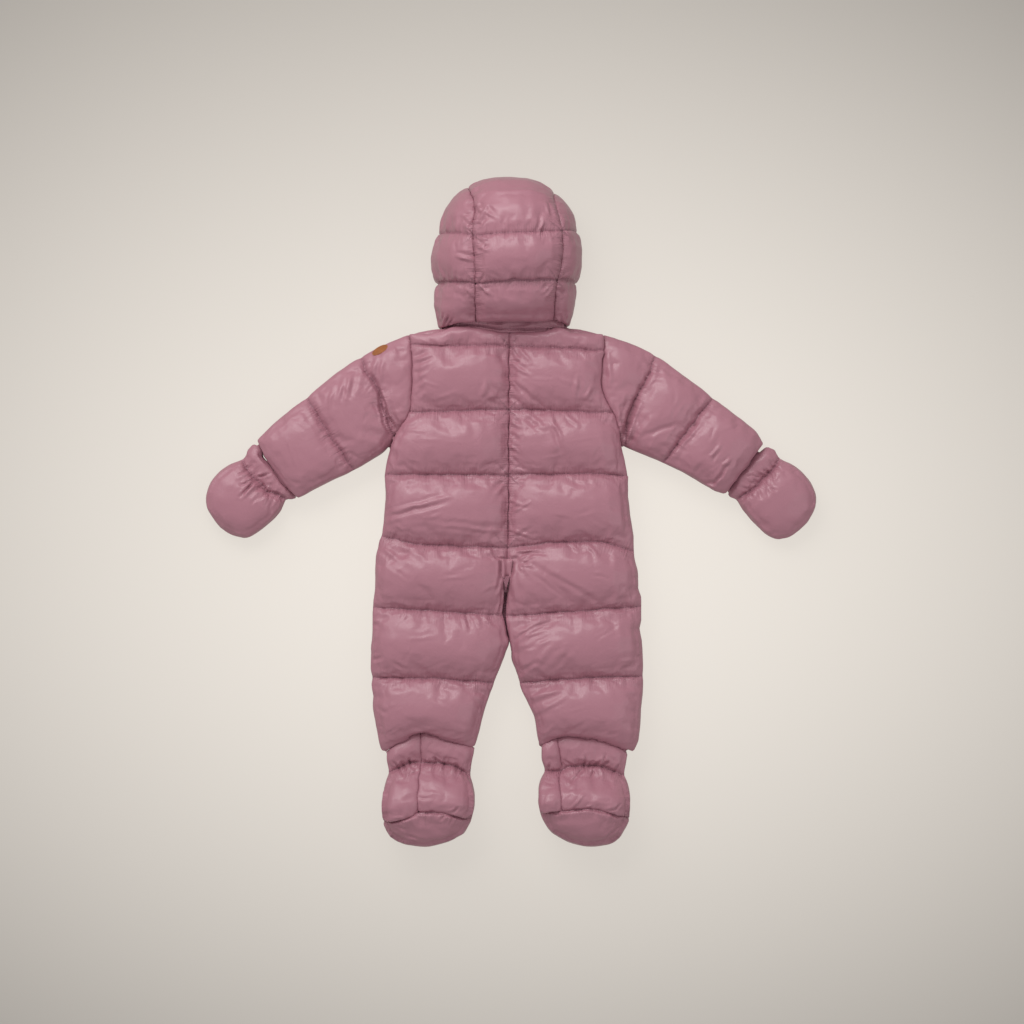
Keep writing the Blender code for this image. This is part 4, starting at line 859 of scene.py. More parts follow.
SLEEVE_RIGHT_FOLDS = [
    (127, 86, 137.5, 136.5, 1.8, 2.4), (129.5, 79, 147.5, 131.5, 2.8, 2.8),
    (133, 74, 155.5, 131.5, -1.8, 2.4), (134, 73, 161.5, 112.5, 2, 3),
    (121, 104, 123.5, 129.5, 1.4, 2.4), (136.5, 140, 133, 110, -1.2, 2.2),
    (116, 191.5, 117.5, 151, -1.8, 3), (154.5, 89.5, 199, 105.5, 1.2, 2.6),
    (201.5, 77.5, 223, 100.5, -1.6, 2), (241, 67, 249.5, 79, -1.6, 1.8),
    (239.5, 59.5, 245.5, 71.5, 1.2, 2), (253, 56, 261.5, 62, -1.6, 1.8),
    (233.5, 35.5, 243.5, 34, 2.4, 1.8), (242, 34, 251, 44, 2.8, 1.8), (250, 42.5, 257, 56, 2.4, 1.8),
    (237, 66.5, 244.5, 75.5, -1.6, 1.5), (253.5, 56.5, 259, 59.5, -1.6, 1.4),
    (219.5, 46.5, 230, 58.5, 1, 2.6), (154.5, 71.5, 188, 50, 1, 3),
]
SLEEVE_ENDS = {"left": ((-246, 16), (-304, 84)), "right": ((246, 24), (302, 80))}
SLEEVES = []
for side, lines, folds, seed in (("left", SLEEVE_LEFT_LINES, SLEEVE_LEFT_FOLDS, 101),
                                 ("right", SLEEVE_RIGHT_LINES, SLEEVE_RIGHT_FOLDS, 121)):
    for index, line in enumerate(lines):
        folds += puckers(line, 0, spacing=18.0, length=12.0, depth=0.8, seed=seed + index)
    for index, below in enumerate((lines[1], SLEEVE_ENDS[side])):
        folds += slack(lines[index], below, number=6, depth=0.45, seed=400 + seed + index)
    SLEEVES.append(Panel("sleeve_" + side + "_upper", SLEEVE_PLANE, 1, VOXEL, lines, folds))
dress_panels(SLEEVES, 0.7)

# ---------------------------------------------------------------- mittens
# Each mitten is a thumbless bag with a soft cuff. An elastic between them gathers the back, and
# creases run out from it on both sides.
MITTEN_PLANE = 15.3
MITTEN_VOXEL = 0.003
MITTEN_LINES = {
    "left": (((-273, 17.5), (-285.5, 23), (-295, 25), (-298.5, 31.5), (-307.5, 39.5), (-312, 43.5),
              (-319, 51.5), (-322.5, 60.5)),),
    "right": (((273, 15.5), (279, 21.5), (287.5, 25.5), (295.5, 31), (301, 38), (308, 45.5),
               (315.5, 51), (322.5, 63.5)),),
}
MITTEN_FOLDS = {
    "left": [
        (-306.5, 41.5, -290, 46, 2.6, 1.5), (-307.5, 39, -325, 32, 2.4, 1.5),
        (-307, 36.5, -325, 18.5, 2.8, 1.6), (-303, 35.5, -319, 18, -1.6, 1.5),
        (-298.5, 31.5, -305.5, 27, 1.8, 1.4), (-294.5, 33, -287, 32.5, 1.4, 1.4),
        (-286, 22.5, -280, 20.5, 2, 1.4), (-292, 25, -304, 14, 2, 1.7),
        (-283.5, 19, -289.5, 2, 1.5, 1.9), (-274, 17.5, -271.5, 4.5, 1.6, 1.9),
        (-296.5, 27.5, -310, 10.5, 1.8, 1.7), (-317, 50, -328, 43, 1.6, 1.5),
    ],
    "right": [
        (283, 43, 289.5, 44, 1.8, 1.4), (289.5, 44, 300, 40.5, 2.2, 1.4), (274.5, 30, 286, 27, 2, 1.4),
        (301, 51.5, 308, 46, 2, 1.4), (302, 37, 308, 30, 2.2, 1.5), (308, 30, 317.5, 24.5, 1.8, 1.5),
        (305, 29, 308, 18.5, 1.4, 1.5), (287.5, 25, 289, 16.5, 1.6, 1.4),
        (280.5, 21.5, 278, 7, 1.6, 1.6), (295, 29.5, 299.5, 15.5, 1.5, 1.6),
        (295, 33.5, 284, 35.5, 1.5, 1.4),
    ],
}
MITTENS = []
for side, seed in (("left", 141), ("right", 151)):
    lines = MITTEN_LINES[side]
    folds = MITTEN_FOLDS[side] + puckers(lines[0], 0, spacing=5.0, length=9.0, depth=1.3, seed=seed,
                                         width=0.7)
    MITTENS.append(Panel("mitten_" + side + "_back", MITTEN_PLANE, 1, MITTEN_VOXEL, lines, folds))
dress_panels(MITTENS, 0.6, reach=6.0, groove=3.4, spread=1.7)

# ---------------------------------------------------------------- booties
# Each bootie has a heel in two halves with a soft cuff above an elastic, and a sole that slopes
# down to the toe. The heel seam and the sole seam draw the cloth in.
BOOTIE_LINES = {
    "bootie_left_heel_outer": (((-108, -300.5), (-121.5, -300.5), (-131, -304.5), (-146.5, -313.5)),),
    "bootie_left_heel_inner": (((-108, -300.5), (-85, -301.5), (-66.5, -305.5), (-49, -316)),),
    "bootie_right_heel_inner": (((60.5, -310), (40, -311)),),
    "bootie_right_heel_outer": (((60.5, -310), (67, -306.5), (83.5, -304.5), (105.5, -304),
                                 (135.5, -316)),),
}
BOOTIE_SOLES = {
    "bootie_left_sole": ((-153, -371), (-125, -363.5), (-110.5, -358), (-102.5, -356), (-77, -357.5),
                         (-47.5, -367.5)),
    "bootie_right_sole": ((34.5, -360.5), (45.5, -356.5), (60.5, -355), (92, -352), (112.5, -356),
                          (141.5, -366.5)),
}
BOOTIE_FOLDS = {
    "left": [
        (-131, -301.5, -128.5, -307.5, 4, 1.7), (-122.5, -296.5, -121.5, -301.5, 4, 1.6),
        (-120.5, -300.5, -113, -300.5, 2.4, 1.5), (-105.5, -297.5, -98.5, -302, 2, 1.4),
        (-93, -295, -85, -301.5, 2.4, 1.4), (-83, -301.5, -79, -302.5, 3, 1.4),
        (-66.5, -302.5, -64.5, -312, 3.2, 1.7), (-62.5, -308.5, -55, -315.5, 2.2, 1.5),
        (-112.5, -309.5, -118.5, -314, 1.5, 1.3), (-119, -310, -124, -318.5, 1.2, 1.4),
        (-76.5, -358, -84, -364, 2.8, 1.7), (-76.5, -358, -67.5, -355.5, 2, 1.4),
        (-68.5, -356, -64.5, -352, 1.6, 1.4), (-72, -359, -61, -365.5, 1.8, 1.4),
        (-146, -379.5, -132.5, -391, 1.3, 1.6), (-128.5, -384, -104.5, -391, 1.2, 1.8),
        (-138.5, -374, -124, -377, 1, 1.8), (-140.5, -363.5, -128.5, -361, -1.4, 1.4),
        (-110.5, -338.5, -96.5, -339.5, 1, 1.6),
    ],
    "right": [
        (45.5, -302.5, 46, -308.5, 3.4, 1.6), (89, -290.5, 89, -300.5, 2.6, 1.4),
        (89, -299, 85, -305, 3.4, 1.6), (106.5, -298, 97.5, -305.5, 2.8, 1.6),
        (112.5, -289, 110.5, -300.5, 2.4, 1.4), (117, -298.5, 109, -304.5, 2.2, 1.5),
        (64.5, -296.5, 72.5, -305, 1.8, 1.6), (86.5, -306, 80, -313.5, 2.6, 1.5),
        (80, -313.5, 69, -326, 1.8, 1.5), (100, -306, 95.5, -317.5, 2.2, 1.5),
        (52.5, -315, 57.5, -314.5, 2.2, 1.4), (86.5, -335, 70.5, -352, -1.4, 1.4),
        (95, -347, 89, -350.5, -1.8, 1.5), (70.5, -326.5, 65.5, -319.5, -1.4, 2),
        (101.5, -354.5, 106.5, -358, 2.8, 1.5), (112.5, -355.5, 125, -351.5, 2, 1.4),
        (124.5, -352, 130.5, -346.5, 1.6, 1.4), (117, -357, 129.5, -366.5, 2, 1.4),
        (129.5, -366.5, 133.5, -372.5, 2, 1.4), (130.5, -373.5, 107.5, -393.5, 1.8, 1.4),
        (44, -355.5, 57.5, -356.5, -1.5, 1.3), (49, -359, 57.5, -358.5, 1.5, 1.3),
    ],
}
BOOTIES = []
for index, (node, lines) in enumerate(BOOTIE_LINES.items()):
    side = "left" if "left" in node else "right"
    folds = BOOTIE_FOLDS[side] + puckers(lines[0], 0, spacing=7.0, length=9.0, depth=1.8,
                                         seed=171 + index, width=0.75)
    folds += puckers(BOOTIE_SOLES["bootie_" + side + "_sole"], 1, spacing=16.0, length=12.0,
                     depth=0.8, seed=181 + index)
    BOOTIES.append(Panel(node, BACK_PLANE, 1, MITTEN_VOXEL, lines, folds))
for index, (node, line) in enumerate(BOOTIE_SOLES.items()):
    folds = BOOTIE_FOLDS["left" if "left" in node else "right"]
    folds = folds + puckers(line, -1, spacing=15.0, length=12.0, depth=0.8, seed=191 + index)
    BOOTIES.append(Panel(node, BACK_PLANE, 1, MITTEN_VOXEL, (line,), folds))
dress_panels(BOOTIES, 0.6, reach=5.0, groove=5.0, spread=2.1)

# ---------------------------------------------------------------- hood
# The hood is three padded panels round an open hollow, quilted in three rows, and it stands on
# its face edge. Its seams pucker where they cross the quilt lines.
# The middle of the hollow, the two seams and the quilt lines of each panel, in millimetres.
HOOD_CENTRE = (-8.0, 305.0, 10.0)
HOOD_LEFT_SEAM = (
    (-42, 229),
    (-41.5, 248.5),
    (-41.5, 268),
    (-41.5, 297),
    (-45, 324.5),
    (-42, 356),
    (-46, 375),
    (-50, 384.5),
)
HOOD_RIGHT_SEAM = (
    (51.5, 229),
    (51, 250.5),
    (53.5, 272.5),
    (59, 301.5),
    (59, 330),
    (52.5, 355),
    (50, 371),
    (50.5, 379),
)
HOOD_ROWS = {
    "hood_left": (((-100, 276), (-86, 274.5), (-41.5, 268)),
                  ((-100, 335), (-83.5, 333.5), (-45, 324.5))),
    "hood_middle": (((-41.5, 268), (53.5, 272.5)), ((-45, 324.5), (59, 330))),
    "hood_right": (((53.5, 272.5), (73.5, 274.5), (90, 276)), ((59, 330), (74.5, 334), (90, 336))),
}
HOOD_FOLDS = [
    (-43.5, 365.5, -33, 349, -1.5, 2), (-36.5, 339.5, -28.5, 358.5, -1.6, 1.8),
    (-28.5, 358.5, -19, 350.5, 1.5, 1.8), (-32, 352.5, -18, 343, -1.6, 1.8),
    (-41.5, 335, -29.5, 343, 1.6, 2.2), (-57.5, 349, -46, 342, -1.4, 2),
    (-54, 339.5, -43.5, 335, 1.4, 2), (-50.5, 331.5, -45, 323.5, -1.5, 1.8),
    (-39, 321, -26, 317.5, -1.5, 2), (-41.5, 344.5, -49.5, 335, 2.2, 1.5),
    (-49.5, 335, -46, 323.5, 1.8, 1.5), (-48.5, 323.5, -41.5, 318.5, 1.6, 1.6),
    (-38, 310.5, -27.5, 304.5, -1.6, 1.8), (-38, 304.5, -26, 310.5, 1.4, 1.8),
    (-63.5, 301, -42.5, 294, -1.8, 2), (-66, 304.5, -43.5, 301, 1.2, 2.2),
    (-74, 277.5, -54, 267, 1.4, 2.4), (-39, 268, -32, 278.5, 1.4, 2),
    (-39, 264.5, -22.5, 254, -1.5, 1.8), (-53, 263.5, -42.5, 254, -1.4, 2),
    (-38, 257.5, -26, 263.5, 1.3, 2), (35, 348, 30, 329, 1.2, 2), (43, 363, 49, 347, 1.4, 1.8),
    (31.5, 325.5, 37, 337.5, -1.4, 1.8), (45.5, 268, 35, 261, 1.5, 2),
    (49, 262.5, 40.5, 253, -1.4, 1.8), (52.5, 268, 70, 276.5, 1.3, 2.2),
    (53.5, 262.5, 66.5, 255.5, 1.2, 2), (-48.5, 375, -36.5, 382, 1.3, 2.4),
    (-16.5, 376, 39.5, 377, -0.9, 2.6),
]
HOOD_KNOTS = [
    (-83, 219.5, -76, 231.5, 2.4, 1.5), (-78.5, 220.5, -70, 229, 2, 1.4),
    (-85.5, 224, -82, 235, 1.4, 1.5), (65.5, 220.5, 59.5, 232.5, 2.2, 1.5),
    (61, 219.5, 53.5, 227.5, 1.8, 1.4), (68, 225.5, 67, 236, 1.2, 1.5),
]
HOOD_FOLDS += puckers(HOOD_LEFT_SEAM, 0, spacing=9.0, length=9.0, depth=1.0, seed=201)
HOOD_FOLDS += puckers(HOOD_RIGHT_SEAM, 0, spacing=11.0, length=8.0, depth=0.8, seed=202)
for index, rows in enumerate(HOOD_ROWS.values()):
    for row in rows:
        HOOD_FOLDS += puckers(row, 0, spacing=14.0, length=10.0, depth=0.9, seed=211 + index)
HOOD_NEXT = {"hood_left": ("hood_middle", "neck_band", "back_left"),
             "hood_middle": ("hood_left", "hood_right", "neck_band"),
             "hood_right": ("hood_middle", "neck_band", "back_right")}
HOOD_SINK = Sink((-80, -72, -60, -42, 52, 60, 66, 72), (11, 8, 4, 2.4, 2.4, 5, 9, 10), 252, 24)
HOOD_RIM = 228.6
HOOD_SPREAD = ((-80, -50, 48, 66), (-7, 0, 0, 4))
# How far the hood's outline is drawn outwards, by the turn from the crown in degrees, and how
# much of the notch of each seam and quilt line in it is filled, over how many steps.
HOOD_OUTLINE = (
    (-150, -145, -138, -129, -123, -114, -105, -96, -87, -78, -66, -54, -48, -39, -33, -20, -9, 6, 15,
     33, 42, 51, 57, 66, 78, 90, 99, 108, 114, 123, 129, 138, 145, 150),
    (0, -2, -4, -3.5, -0.8, 0, 1.6, 1.2, 0.8, 0, 0, -1.4, -2, -1.7, -0.2, 0, -1.1, -1.1, 0, 0, -1.7,
     -2.6, -1.6, 0, 0.5, -1.1, 0, 0, -1.2, -3.8, -5, -5.5, -2.5, 0),
)
HOOD_NOTCH = 0.92
HOOD_NOTCH_STEPS = 5
HOOD_BINS = np.arange(-150.0, 151.0, 2.0)
HOOD_END_BINS = 12
# What is held while the hood is filled, in millimetres: how near a quilt line, a seam and the
# floor, and up to what place along; then a quilt line's groove, and how near walls meet.
HOOD_HELD_ROW = 2.6
HOOD_HELD_SEAM = 2.4
HOOD_HELD_FOOT = 3.0
HOOD_HELD_TO = 231.0
HOOD_GROOVE = 2.2
HOOD_GROOVE_WIDE = 1.45
MEET_REACH = 6.0


def to_meet(points, facing, neighbour):
    """The moves that bring a wall half way to the solid that it faces, so that both walls meet."""
    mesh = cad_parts[neighbour].data
    tree = BVHTree.FromPolygons([tuple(point) for point in coordinates(mesh)],
                                [tuple(face.vertices) for face in mesh.polygons])
    moves = np.zeros_like(points)
    for index, (point, normal) in enumerate(zip(points, facing)):
        spot, _, _, away = tree.find_nearest(Vector(point), MEET_REACH)
        if spot is None or away < 1e-6:
            continue
        way = (np.array(spot) - point) / away
        share = ramp(1.6 * (way @ normal) - 0.5)
        moves[index] = way * share * (0.5 * away + 0.15)
    return moves


def hood_outward(points, facing):
    """How much each point of the hood faces away from its hollow, below 0 on the inside."""
    return np.einsum("ij,ij->i", facing, points - np.array(HOOD_CENTRE))


def hood_turn(points):
    """The turn of each point of the hood from the crown in degrees, and how far out it is."""
    across, along = points[:, 0] - HOOD_CENTRE[0], points[:, 1] - HOOD_CENTRE[1]
    return np.degrees(np.arctan2(across, along)), np.hypot(across, along)


hood_pieces = []
hood_edges = []
hood_shapes = {}
for node, rows in HOOD_ROWS.items():
    piece = shell_from(node, VOXEL)
    points = coordinates(piece.data)
    facing = normals_of(piece.data)
    edge = away_from_lines(points, (HOOD_LEFT_SEAM, HOOD_RIGHT_SEAM))
    seam = away_from_lines(points, rows)
    hold(piece, (hood_outward(points, facing) < 0.0) | (seam < HOOD_HELD_ROW)
         | (edge < HOOD_HELD_SEAM) | (points[:, 2] < HOOD_HELD_FOOT) | (points[:, 1] < HOOD_HELD_TO))
    hood_pieces.append(piece)
    hood_edges.append(np.minimum(edge, points[:, 2] + 2.0))
fill_with_down(hood_pieces, pressure=4.0, ease=0.02, reach=5.0, free_of=hood_edges)
for piece, (node, rows) in zip(hood_pieces, HOOD_ROWS.items()):
    refine(piece)
    points = coordinates(piece.data)
    facing = normals_of(piece.data)
    edge = away_from_lines(points, (HOOD_LEFT_SEAM, HOOD_RIGHT_SEAM))
    seam = away_from_lines(points, rows)
    outside = hood_outward(points, facing) > 0.0
    pleats = pleats_along(points, rows + (HOOD_LEFT_SEAM, HOOD_RIGHT_SEAM))
    pleats[1][points[:, 1] < 236.0] += 40.0
    drop = press_folds(points, HOOD_FOLDS) * ramp(facing[:, 2] + 0.35)
    drop += HOOD_GROOVE * bell(seam / HOOD_GROOVE_WIDE)
    points -= facing * (drop * outside)[:, None]
    for neighbour in HOOD_NEXT[node]:
        points += to_meet(points, facing, neighbour)
    rim = ramp(-2.0 * facing[:, 1] - 0.4)
    rim *= ramp((HOOD_RIM + 6.0 - points[:, 1]) / 5.0)
    points[:, 1] += (HOOD_RIM - points[:, 1]) * rim
    low = ramp((HOOD_SINK.start - points[:, 1]) / HOOD_SINK.grow)
    points[:, 1] -= low * np.interp(points[:, 0], HOOD_SINK.across, HOOD_SINK.down)
    points[:, 0] += low * np.interp(points[:, 0], *HOOD_SPREAD)
    knots = press_folds(points, HOOD_KNOTS) * ramp(facing[:, 2] + 0.6)
    points -= facing * (knots * outside)[:, None]
    hood_shapes[node] = points
    # Painted shade: the cloth is darkened along each quilt line and, where it faces up, along the seams
    # between the hood's panels.
    near = SEAM_PAINTED_SHADE * bell(seam / SEAM_SHADE_WIDE)
    near += 0.3 * bell(edge / SEAM_SHADE_WIDE) * (facing[:, 2] > 0.1)
    mark_cloth(piece, near * outside, pleats)
    bpy.ops.object.shade_smooth()
    piece.data.materials.append(SHELL)
    dress_padded(piece, node)
turns, reaches = hood_turn(np.concatenate(list(hood_shapes.values())))
hood_reach = np.array([reaches[np.abs(turns - middle) < 1.3].max() for middle in HOOD_BINS])
hood_full = hood_reach.copy()
for step in range(1, HOOD_NOTCH_STEPS + 1):
    before, after = np.roll(hood_reach, step), np.roll(hood_reach, -step)
    hood_full = np.maximum(hood_full, np.minimum(before, after))
for ends in (slice(0, HOOD_END_BINS), slice(-HOOD_END_BINS, None)):
    hood_full[ends] = hood_reach[ends]
hood_out = HOOD_NOTCH * (hood_full - hood_reach) + np.interp(HOOD_BINS, *HOOD_OUTLINE)
hood_out = np.convolve(hood_out, (0.25, 0.5, 0.25), mode="same")
for node, points in hood_shapes.items():
    turns, reaches = hood_turn(points)
    share = ramp((reaches / np.interp(turns, HOOD_BINS, hood_reach) - 0.6) / 0.4)
    out = share ** 2 * np.interp(turns, HOOD_BINS, hood_out, left=0.0, right=0.0) / reaches
    outwards = (points[:, :2] - HOOD_CENTRE[:2]) * out[:, None]
    points[:, :2] += outwards + wander(points) * (1.0 - 0.7 * share)[:, None]
    points[:, 2] = np.maximum(points[:, 2], 0.0)
    set_coordinates(DRESSED[node].data, points)

# ---------------------------------------------------------------- neck band
# A lightly padded band joins the hood to the neck. It is crushed into a few lengthwise folds
# under the hood's edge.
BAND_LINES = (((-60, 225.5), (-23, 220), (10.5, 218.7), (50, 219)),)
BAND_FOLDS = [
    (-58, 224, -23, 220.5, 1.6, 1.5), (-23, 220.5, 13, 223, 1.4, 1.6),
    (-7.5, 217, 40.5, 218.5, 1.6, 1.5), (22.5, 221.5, 56, 223, 1.8, 1.5),
    (-49.5, 225.5, -13.5, 224, -1.2, 1.6),
]
BAND_VOXEL = 0.0018
BAND = Panel("neck_band", BACK_PLANE, 1, BAND_VOXEL, BAND_LINES, BAND_FOLDS)
BAND_TUCK = 4.6
BAND_TUCKED_FROM = 224.0
BAND_STRETCH = 1.05
band = padded_panels((BAND,), ease=0.05, reach=3.0)[0]
points = coordinates(band.data)
tucked = ramp(2.0 * normals_of(band.data)[:, 1] - 0.4) * (points[:, 1] > BAND_TUCKED_FROM)
points[:, 1] += BAND_TUCK * tucked
points[:, 0] *= BAND_STRETCH
set_coordinates(band.data, points)
dress_padded(band, "neck_band")

# ---------------------------------------------------------------- front and under side
# The lower layer that the suit lies on: front halves, sleeve undersides, mitten palms and bootie
# insteps, of the same padded nylon, pressed flat where they rest.
UNDER_VOXEL = 0.0058
PALM_VOXEL = 0.0042
INSTEP_VOXEL = 0.0048
UNDERS = (
    Panel("front_left", 30.0, -1, UNDER_VOXEL, BACK_LEFT_LINES, []),
    Panel("front_right", 30.0, -1, UNDER_VOXEL, BACK_RIGHT_LINES, []),
    Panel("sleeve_left_under", 24.0, -1, UNDER_VOXEL, SLEEVE_LEFT_LINES, []),
    Panel("sleeve_right_under", 24.0, -1, UNDER_VOXEL, SLEEVE_RIGHT_LINES, []),
    Panel("mitten_left_palm", 15.0, -1, PALM_VOXEL, MITTEN_LINES["left"], []),
    Panel("mitten_right_palm", 15.0, -1, PALM_VOXEL, MITTEN_LINES["right"], []),
    Panel("bootie_left_instep", 30.0, -1, INSTEP_VOXEL, (((-146.5, -313.5), (-49.0, -316.0)),), []),
    Panel("bootie_right_instep", 30.0, -1, INSTEP_VOXEL, (((40.0, -311.0), (135.5, -316.0)),), []),
)
for index, panel in enumerate(UNDERS):
    for number, line in enumerate(panel.lines):
        panel.folds.extend(puckers(line, 0, spacing=16.0, length=13.0, depth=0.9,
                                   seed=301 + 10 * index + number))
dress_panels(UNDERS, 0.7, reach=4.0)

# ---------------------------------------------------------------- front zip
# A coil zip closes the front from the neck to the crotch. Its two woven tapes lie between the
# front halves, coil side down; the steel slider and its pull tab stand at the neck.
# In millimetres, with the colours, the twill's height in metres and a tooth's place off the
# middle at the end.
ZIP_X = -3.0
ZIP_FOOT = -158.0
ZIP_LONG = 380.0
TAPE_GAP = 1.0
TAPE_WIDE = 5.3
TAPE_PLANE = 15.2
TAPE_THICK = 0.7
COIL_PITCH = 1.5
COIL_PLANE = 14.2
TAPE_COLOUR = (0.29, 0.118, 0.158, 1.0)
COIL_COLOUR = (0.19, 0.062, 0.092, 1.0)
STEEL_COLOUR = (0.62, 0.60, 0.57, 1.0)
TWILL_HIGH = 0.00022
TOOTH_OFF = 0.95
ACROSS = (1.0, 0.0, 0.0)
UPRIGHT = (0.0, 0.0, 1.0)


def woven_group():
    """Twill lines with a little fluff, as a factor for the colour and a height in metres."""
    group, given, sent = new_group("woven_ground", (("Lines", "Float", 300.0),),
                                   (("Shade", "Float"), ("Height", "Float")))
    place = add_node(group, "ShaderNodeTexCoord").outputs["Object"]
    twill = add_node(group, "ShaderNodeTexWave",
                     {"Vector": place, "Scale": given["Lines"], "Distortion": 0.6},
                     bands_direction="DIAGONAL")
    both = add_node(group, "ShaderNodeMix",
                    {"Factor": 0.4, "A": twill.outputs["Fac"], "B": noise(group, place, 900.0, 3.0)})
    shade = both.outputs["Result"]
    feed(group, sent, {"Shade": shade, "Height": maths(group, "MULTIPLY", shade, TWILL_HIGH)})
    return group


WOVEN = woven_group()


def toned(colour, factor):
    """A colour made darker or lighter."""
    return tuple(min(factor * part, 1.0) for part in colour[:3]) + (1.0,)


def woven(name, colour, lines, roughness):
    """Tape or thread in one colour, with its twill at a scale."""
    made, tree, shader = new_material(name)
    ground = add_node(tree, "ShaderNodeGroup", {"Lines": lines}, node_tree=WOVEN).outputs
    shades = blend(tree, ground["Shade"], toned(colour, 0.62), toned(colour, 1.25))
    bump = add_node(tree, "ShaderNodeBump",
                    {"Distance": 1.0, "Strength": 0.8, "Height": ground["Height"]})
    feed(tree, shader, {"Base Color": shades, "Normal": bump.outputs["Normal"],
                        "Roughness": roughness, "Sheen Weight": 0.15})
    return made


def brushed_steel():
    """Steel with fine brush lines along it and a few dull places."""
    made, tree, shader = new_material("brushed_steel")
    place = add_node(tree, "ShaderNodeTexCoord").outputs["Object"]
    brushed = add_node(tree, "ShaderNodeMapping", {"Vector": place, "Scale": (3000.0, 160.0, 3000.0)})
    worn = noise(tree, place, 160.0)
    dull = add_node(tree, "ShaderNodeMapRange", {"Value": worn, "To Min": 0.22, "To Max": 0.46})
    bump = add_node(tree, "ShaderNodeBump",
                    {"Distance": 0.00004, "Height": noise(tree, brushed.outputs["Vector"], 1.0, 3.0)})
    feed(tree, shader, {"Base Color": blend(tree, worn, toned(STEEL_COLOUR, 0.75), STEEL_COLOUR),
                        "Roughness": dull.outputs["Result"], "Normal": bump.outputs["Normal"],
                        "Metallic": 1.0})
    return made


TAPE = woven("zip_tape_twill", TAPE_COLOUR, 260.0, 0.8)
COIL = woven("zip_coil", COIL_COLOUR, 900.0, 0.36)
STEEL = brushed_steel()
for node in ("zip_slider", "zip_pull"):
    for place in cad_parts[node].material_slots:
        place.material = STEEL


def strip(name, columns, rows):
    """A flat grid, one metre each way, that is then drawn out to a strip of cloth."""
    bpy.ops.object.select_all(action="DESELECT")
    bpy.ops.mesh.primitive_grid_add(x_subdivisions=columns, y_subdivisions=rows, size=1.0)
    piece = bpy.context.object
    piece.name = name
    return piece


def give_body(piece, thick, round_off):
    """Thickens a strip downwards, rounds its edges and applies both."""
    walls = piece.modifiers.new("walls", "SOLIDIFY")
    walls.thickness = thick * MM
    walls.offset = -1.0
    soft = piece.modifiers.new("soft_edge", "BEVEL")
    soft.width = round_off * MM
    soft.segments = 2
    soft.limit_method = "ANGLE"
    soft.angle_limit = math.radians(50.0)
    pick(piece)
    for name in ("walls", "soft_edge"):
        bpy.ops.object.modifier_apply(modifier=name)
    bpy.ops.object.shade_smooth_by_angle(angle=math.radians(40.0))


def dress(piece, material):
    """Gives a piece its finish, and has it ride on the suit."""
    piece.data.materials.clear()
    piece.data.materials.append(material)
    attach(piece, "suit")


def small_oval(name, long, wide, high, sides, rings):
    """A small rounded oval in millimetres, the start of a tooth or a stitch; it is removed later."""
    bpy.ops.object.select_all(action="DESELECT")
    bpy.ops.mesh.primitive_uv_sphere_add(segments=sides, ring_count=rings, radius=MM)
    oval = bpy.context.object
    oval.name = name
    oval.scale = (long, wide, high)
    bpy.ops.object.transform_apply(location=False, rotation=False, scale=True)
    return oval


def copies_of(oval, name, places):
    """One mesh of copies of an oval, each set at (centre, way along, way up), in millimetres."""
    base = coordinates(oval.data)
    rings = [tuple(face.vertices) for face in oval.data.polygons]
    points, faces = [], []
    for centre, along, up in places:
        along = np.array(along) / np.linalg.norm(along)
        side = np.cross(up, along)
        side /= np.linalg.norm(side)
        turn = np.array((along, side, np.cross(along, side)))
        start = len(points) * len(base)
        points.append(np.array(centre) + base @ turn)
        faces += [tuple(start + index for index in ring) for ring in rings]
    mesh = bpy.data.meshes.new(name)
    mesh.from_pydata((np.concatenate(points) * MM).tolist(), [], faces)
    mesh.shade_smooth()
    piece = bpy.data.objects.new(name, mesh)
    bpy.context.collection.objects.link(piece)
    return piece


tapes = []
for side in (-1.0, 1.0):
    tape = strip("zip_tapes", 6, 150)
    points = coordinates(tape.data) * MM
    across, along = points[:, 0] + 0.5, points[:, 1] + 0.5
    shaped = np.empty_like(points)
    shaped[:, 0] = ZIP_X + side * (TAPE_GAP + TAPE_WIDE * across)
    shaped[:, 1] = ZIP_FOOT + ZIP_LONG * along
    shaped[:, 2] = TAPE_PLANE - 0.6 * bell(across * TAPE_WIDE) + 0.12 * np.sin(shaped[:, 1] / 5.0)
    set_coordinates(tape.data, shaped)
    give_body(tape, TAPE_THICK * side, 0.15)
    tapes.append(tape)
for tape in tapes:
    tape.select_set(True)
bpy.ops.object.join()
tape = bpy.context.object
tape.name = "zip_tapes"
bpy.ops.object.mode_set(mode="EDIT")
bpy.ops.mesh.select_all(action="SELECT")
bpy.ops.mesh.normals_make_consistent(inside=False)
bpy.ops.object.mode_set(mode="OBJECT")
dress(tape, TAPE)
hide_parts("zip_front")

tooth = small_oval("tooth", 1.75, 0.5, 1.5, 8, 5)
places = []
for number in range(int(ZIP_LONG / COIL_PITCH)):
    y = ZIP_FOOT + (number + 0.5) * COIL_PITCH
    places.append(((ZIP_X - TOOTH_OFF, y, COIL_PLANE), ACROSS, UPRIGHT))
    places.append(((ZIP_X + TOOTH_OFF, y + 0.5 * COIL_PITCH - 0.3, COIL_PLANE), ACROSS, UPRIGHT))
dress(copies_of(tooth, "zip_coil", places), COIL)

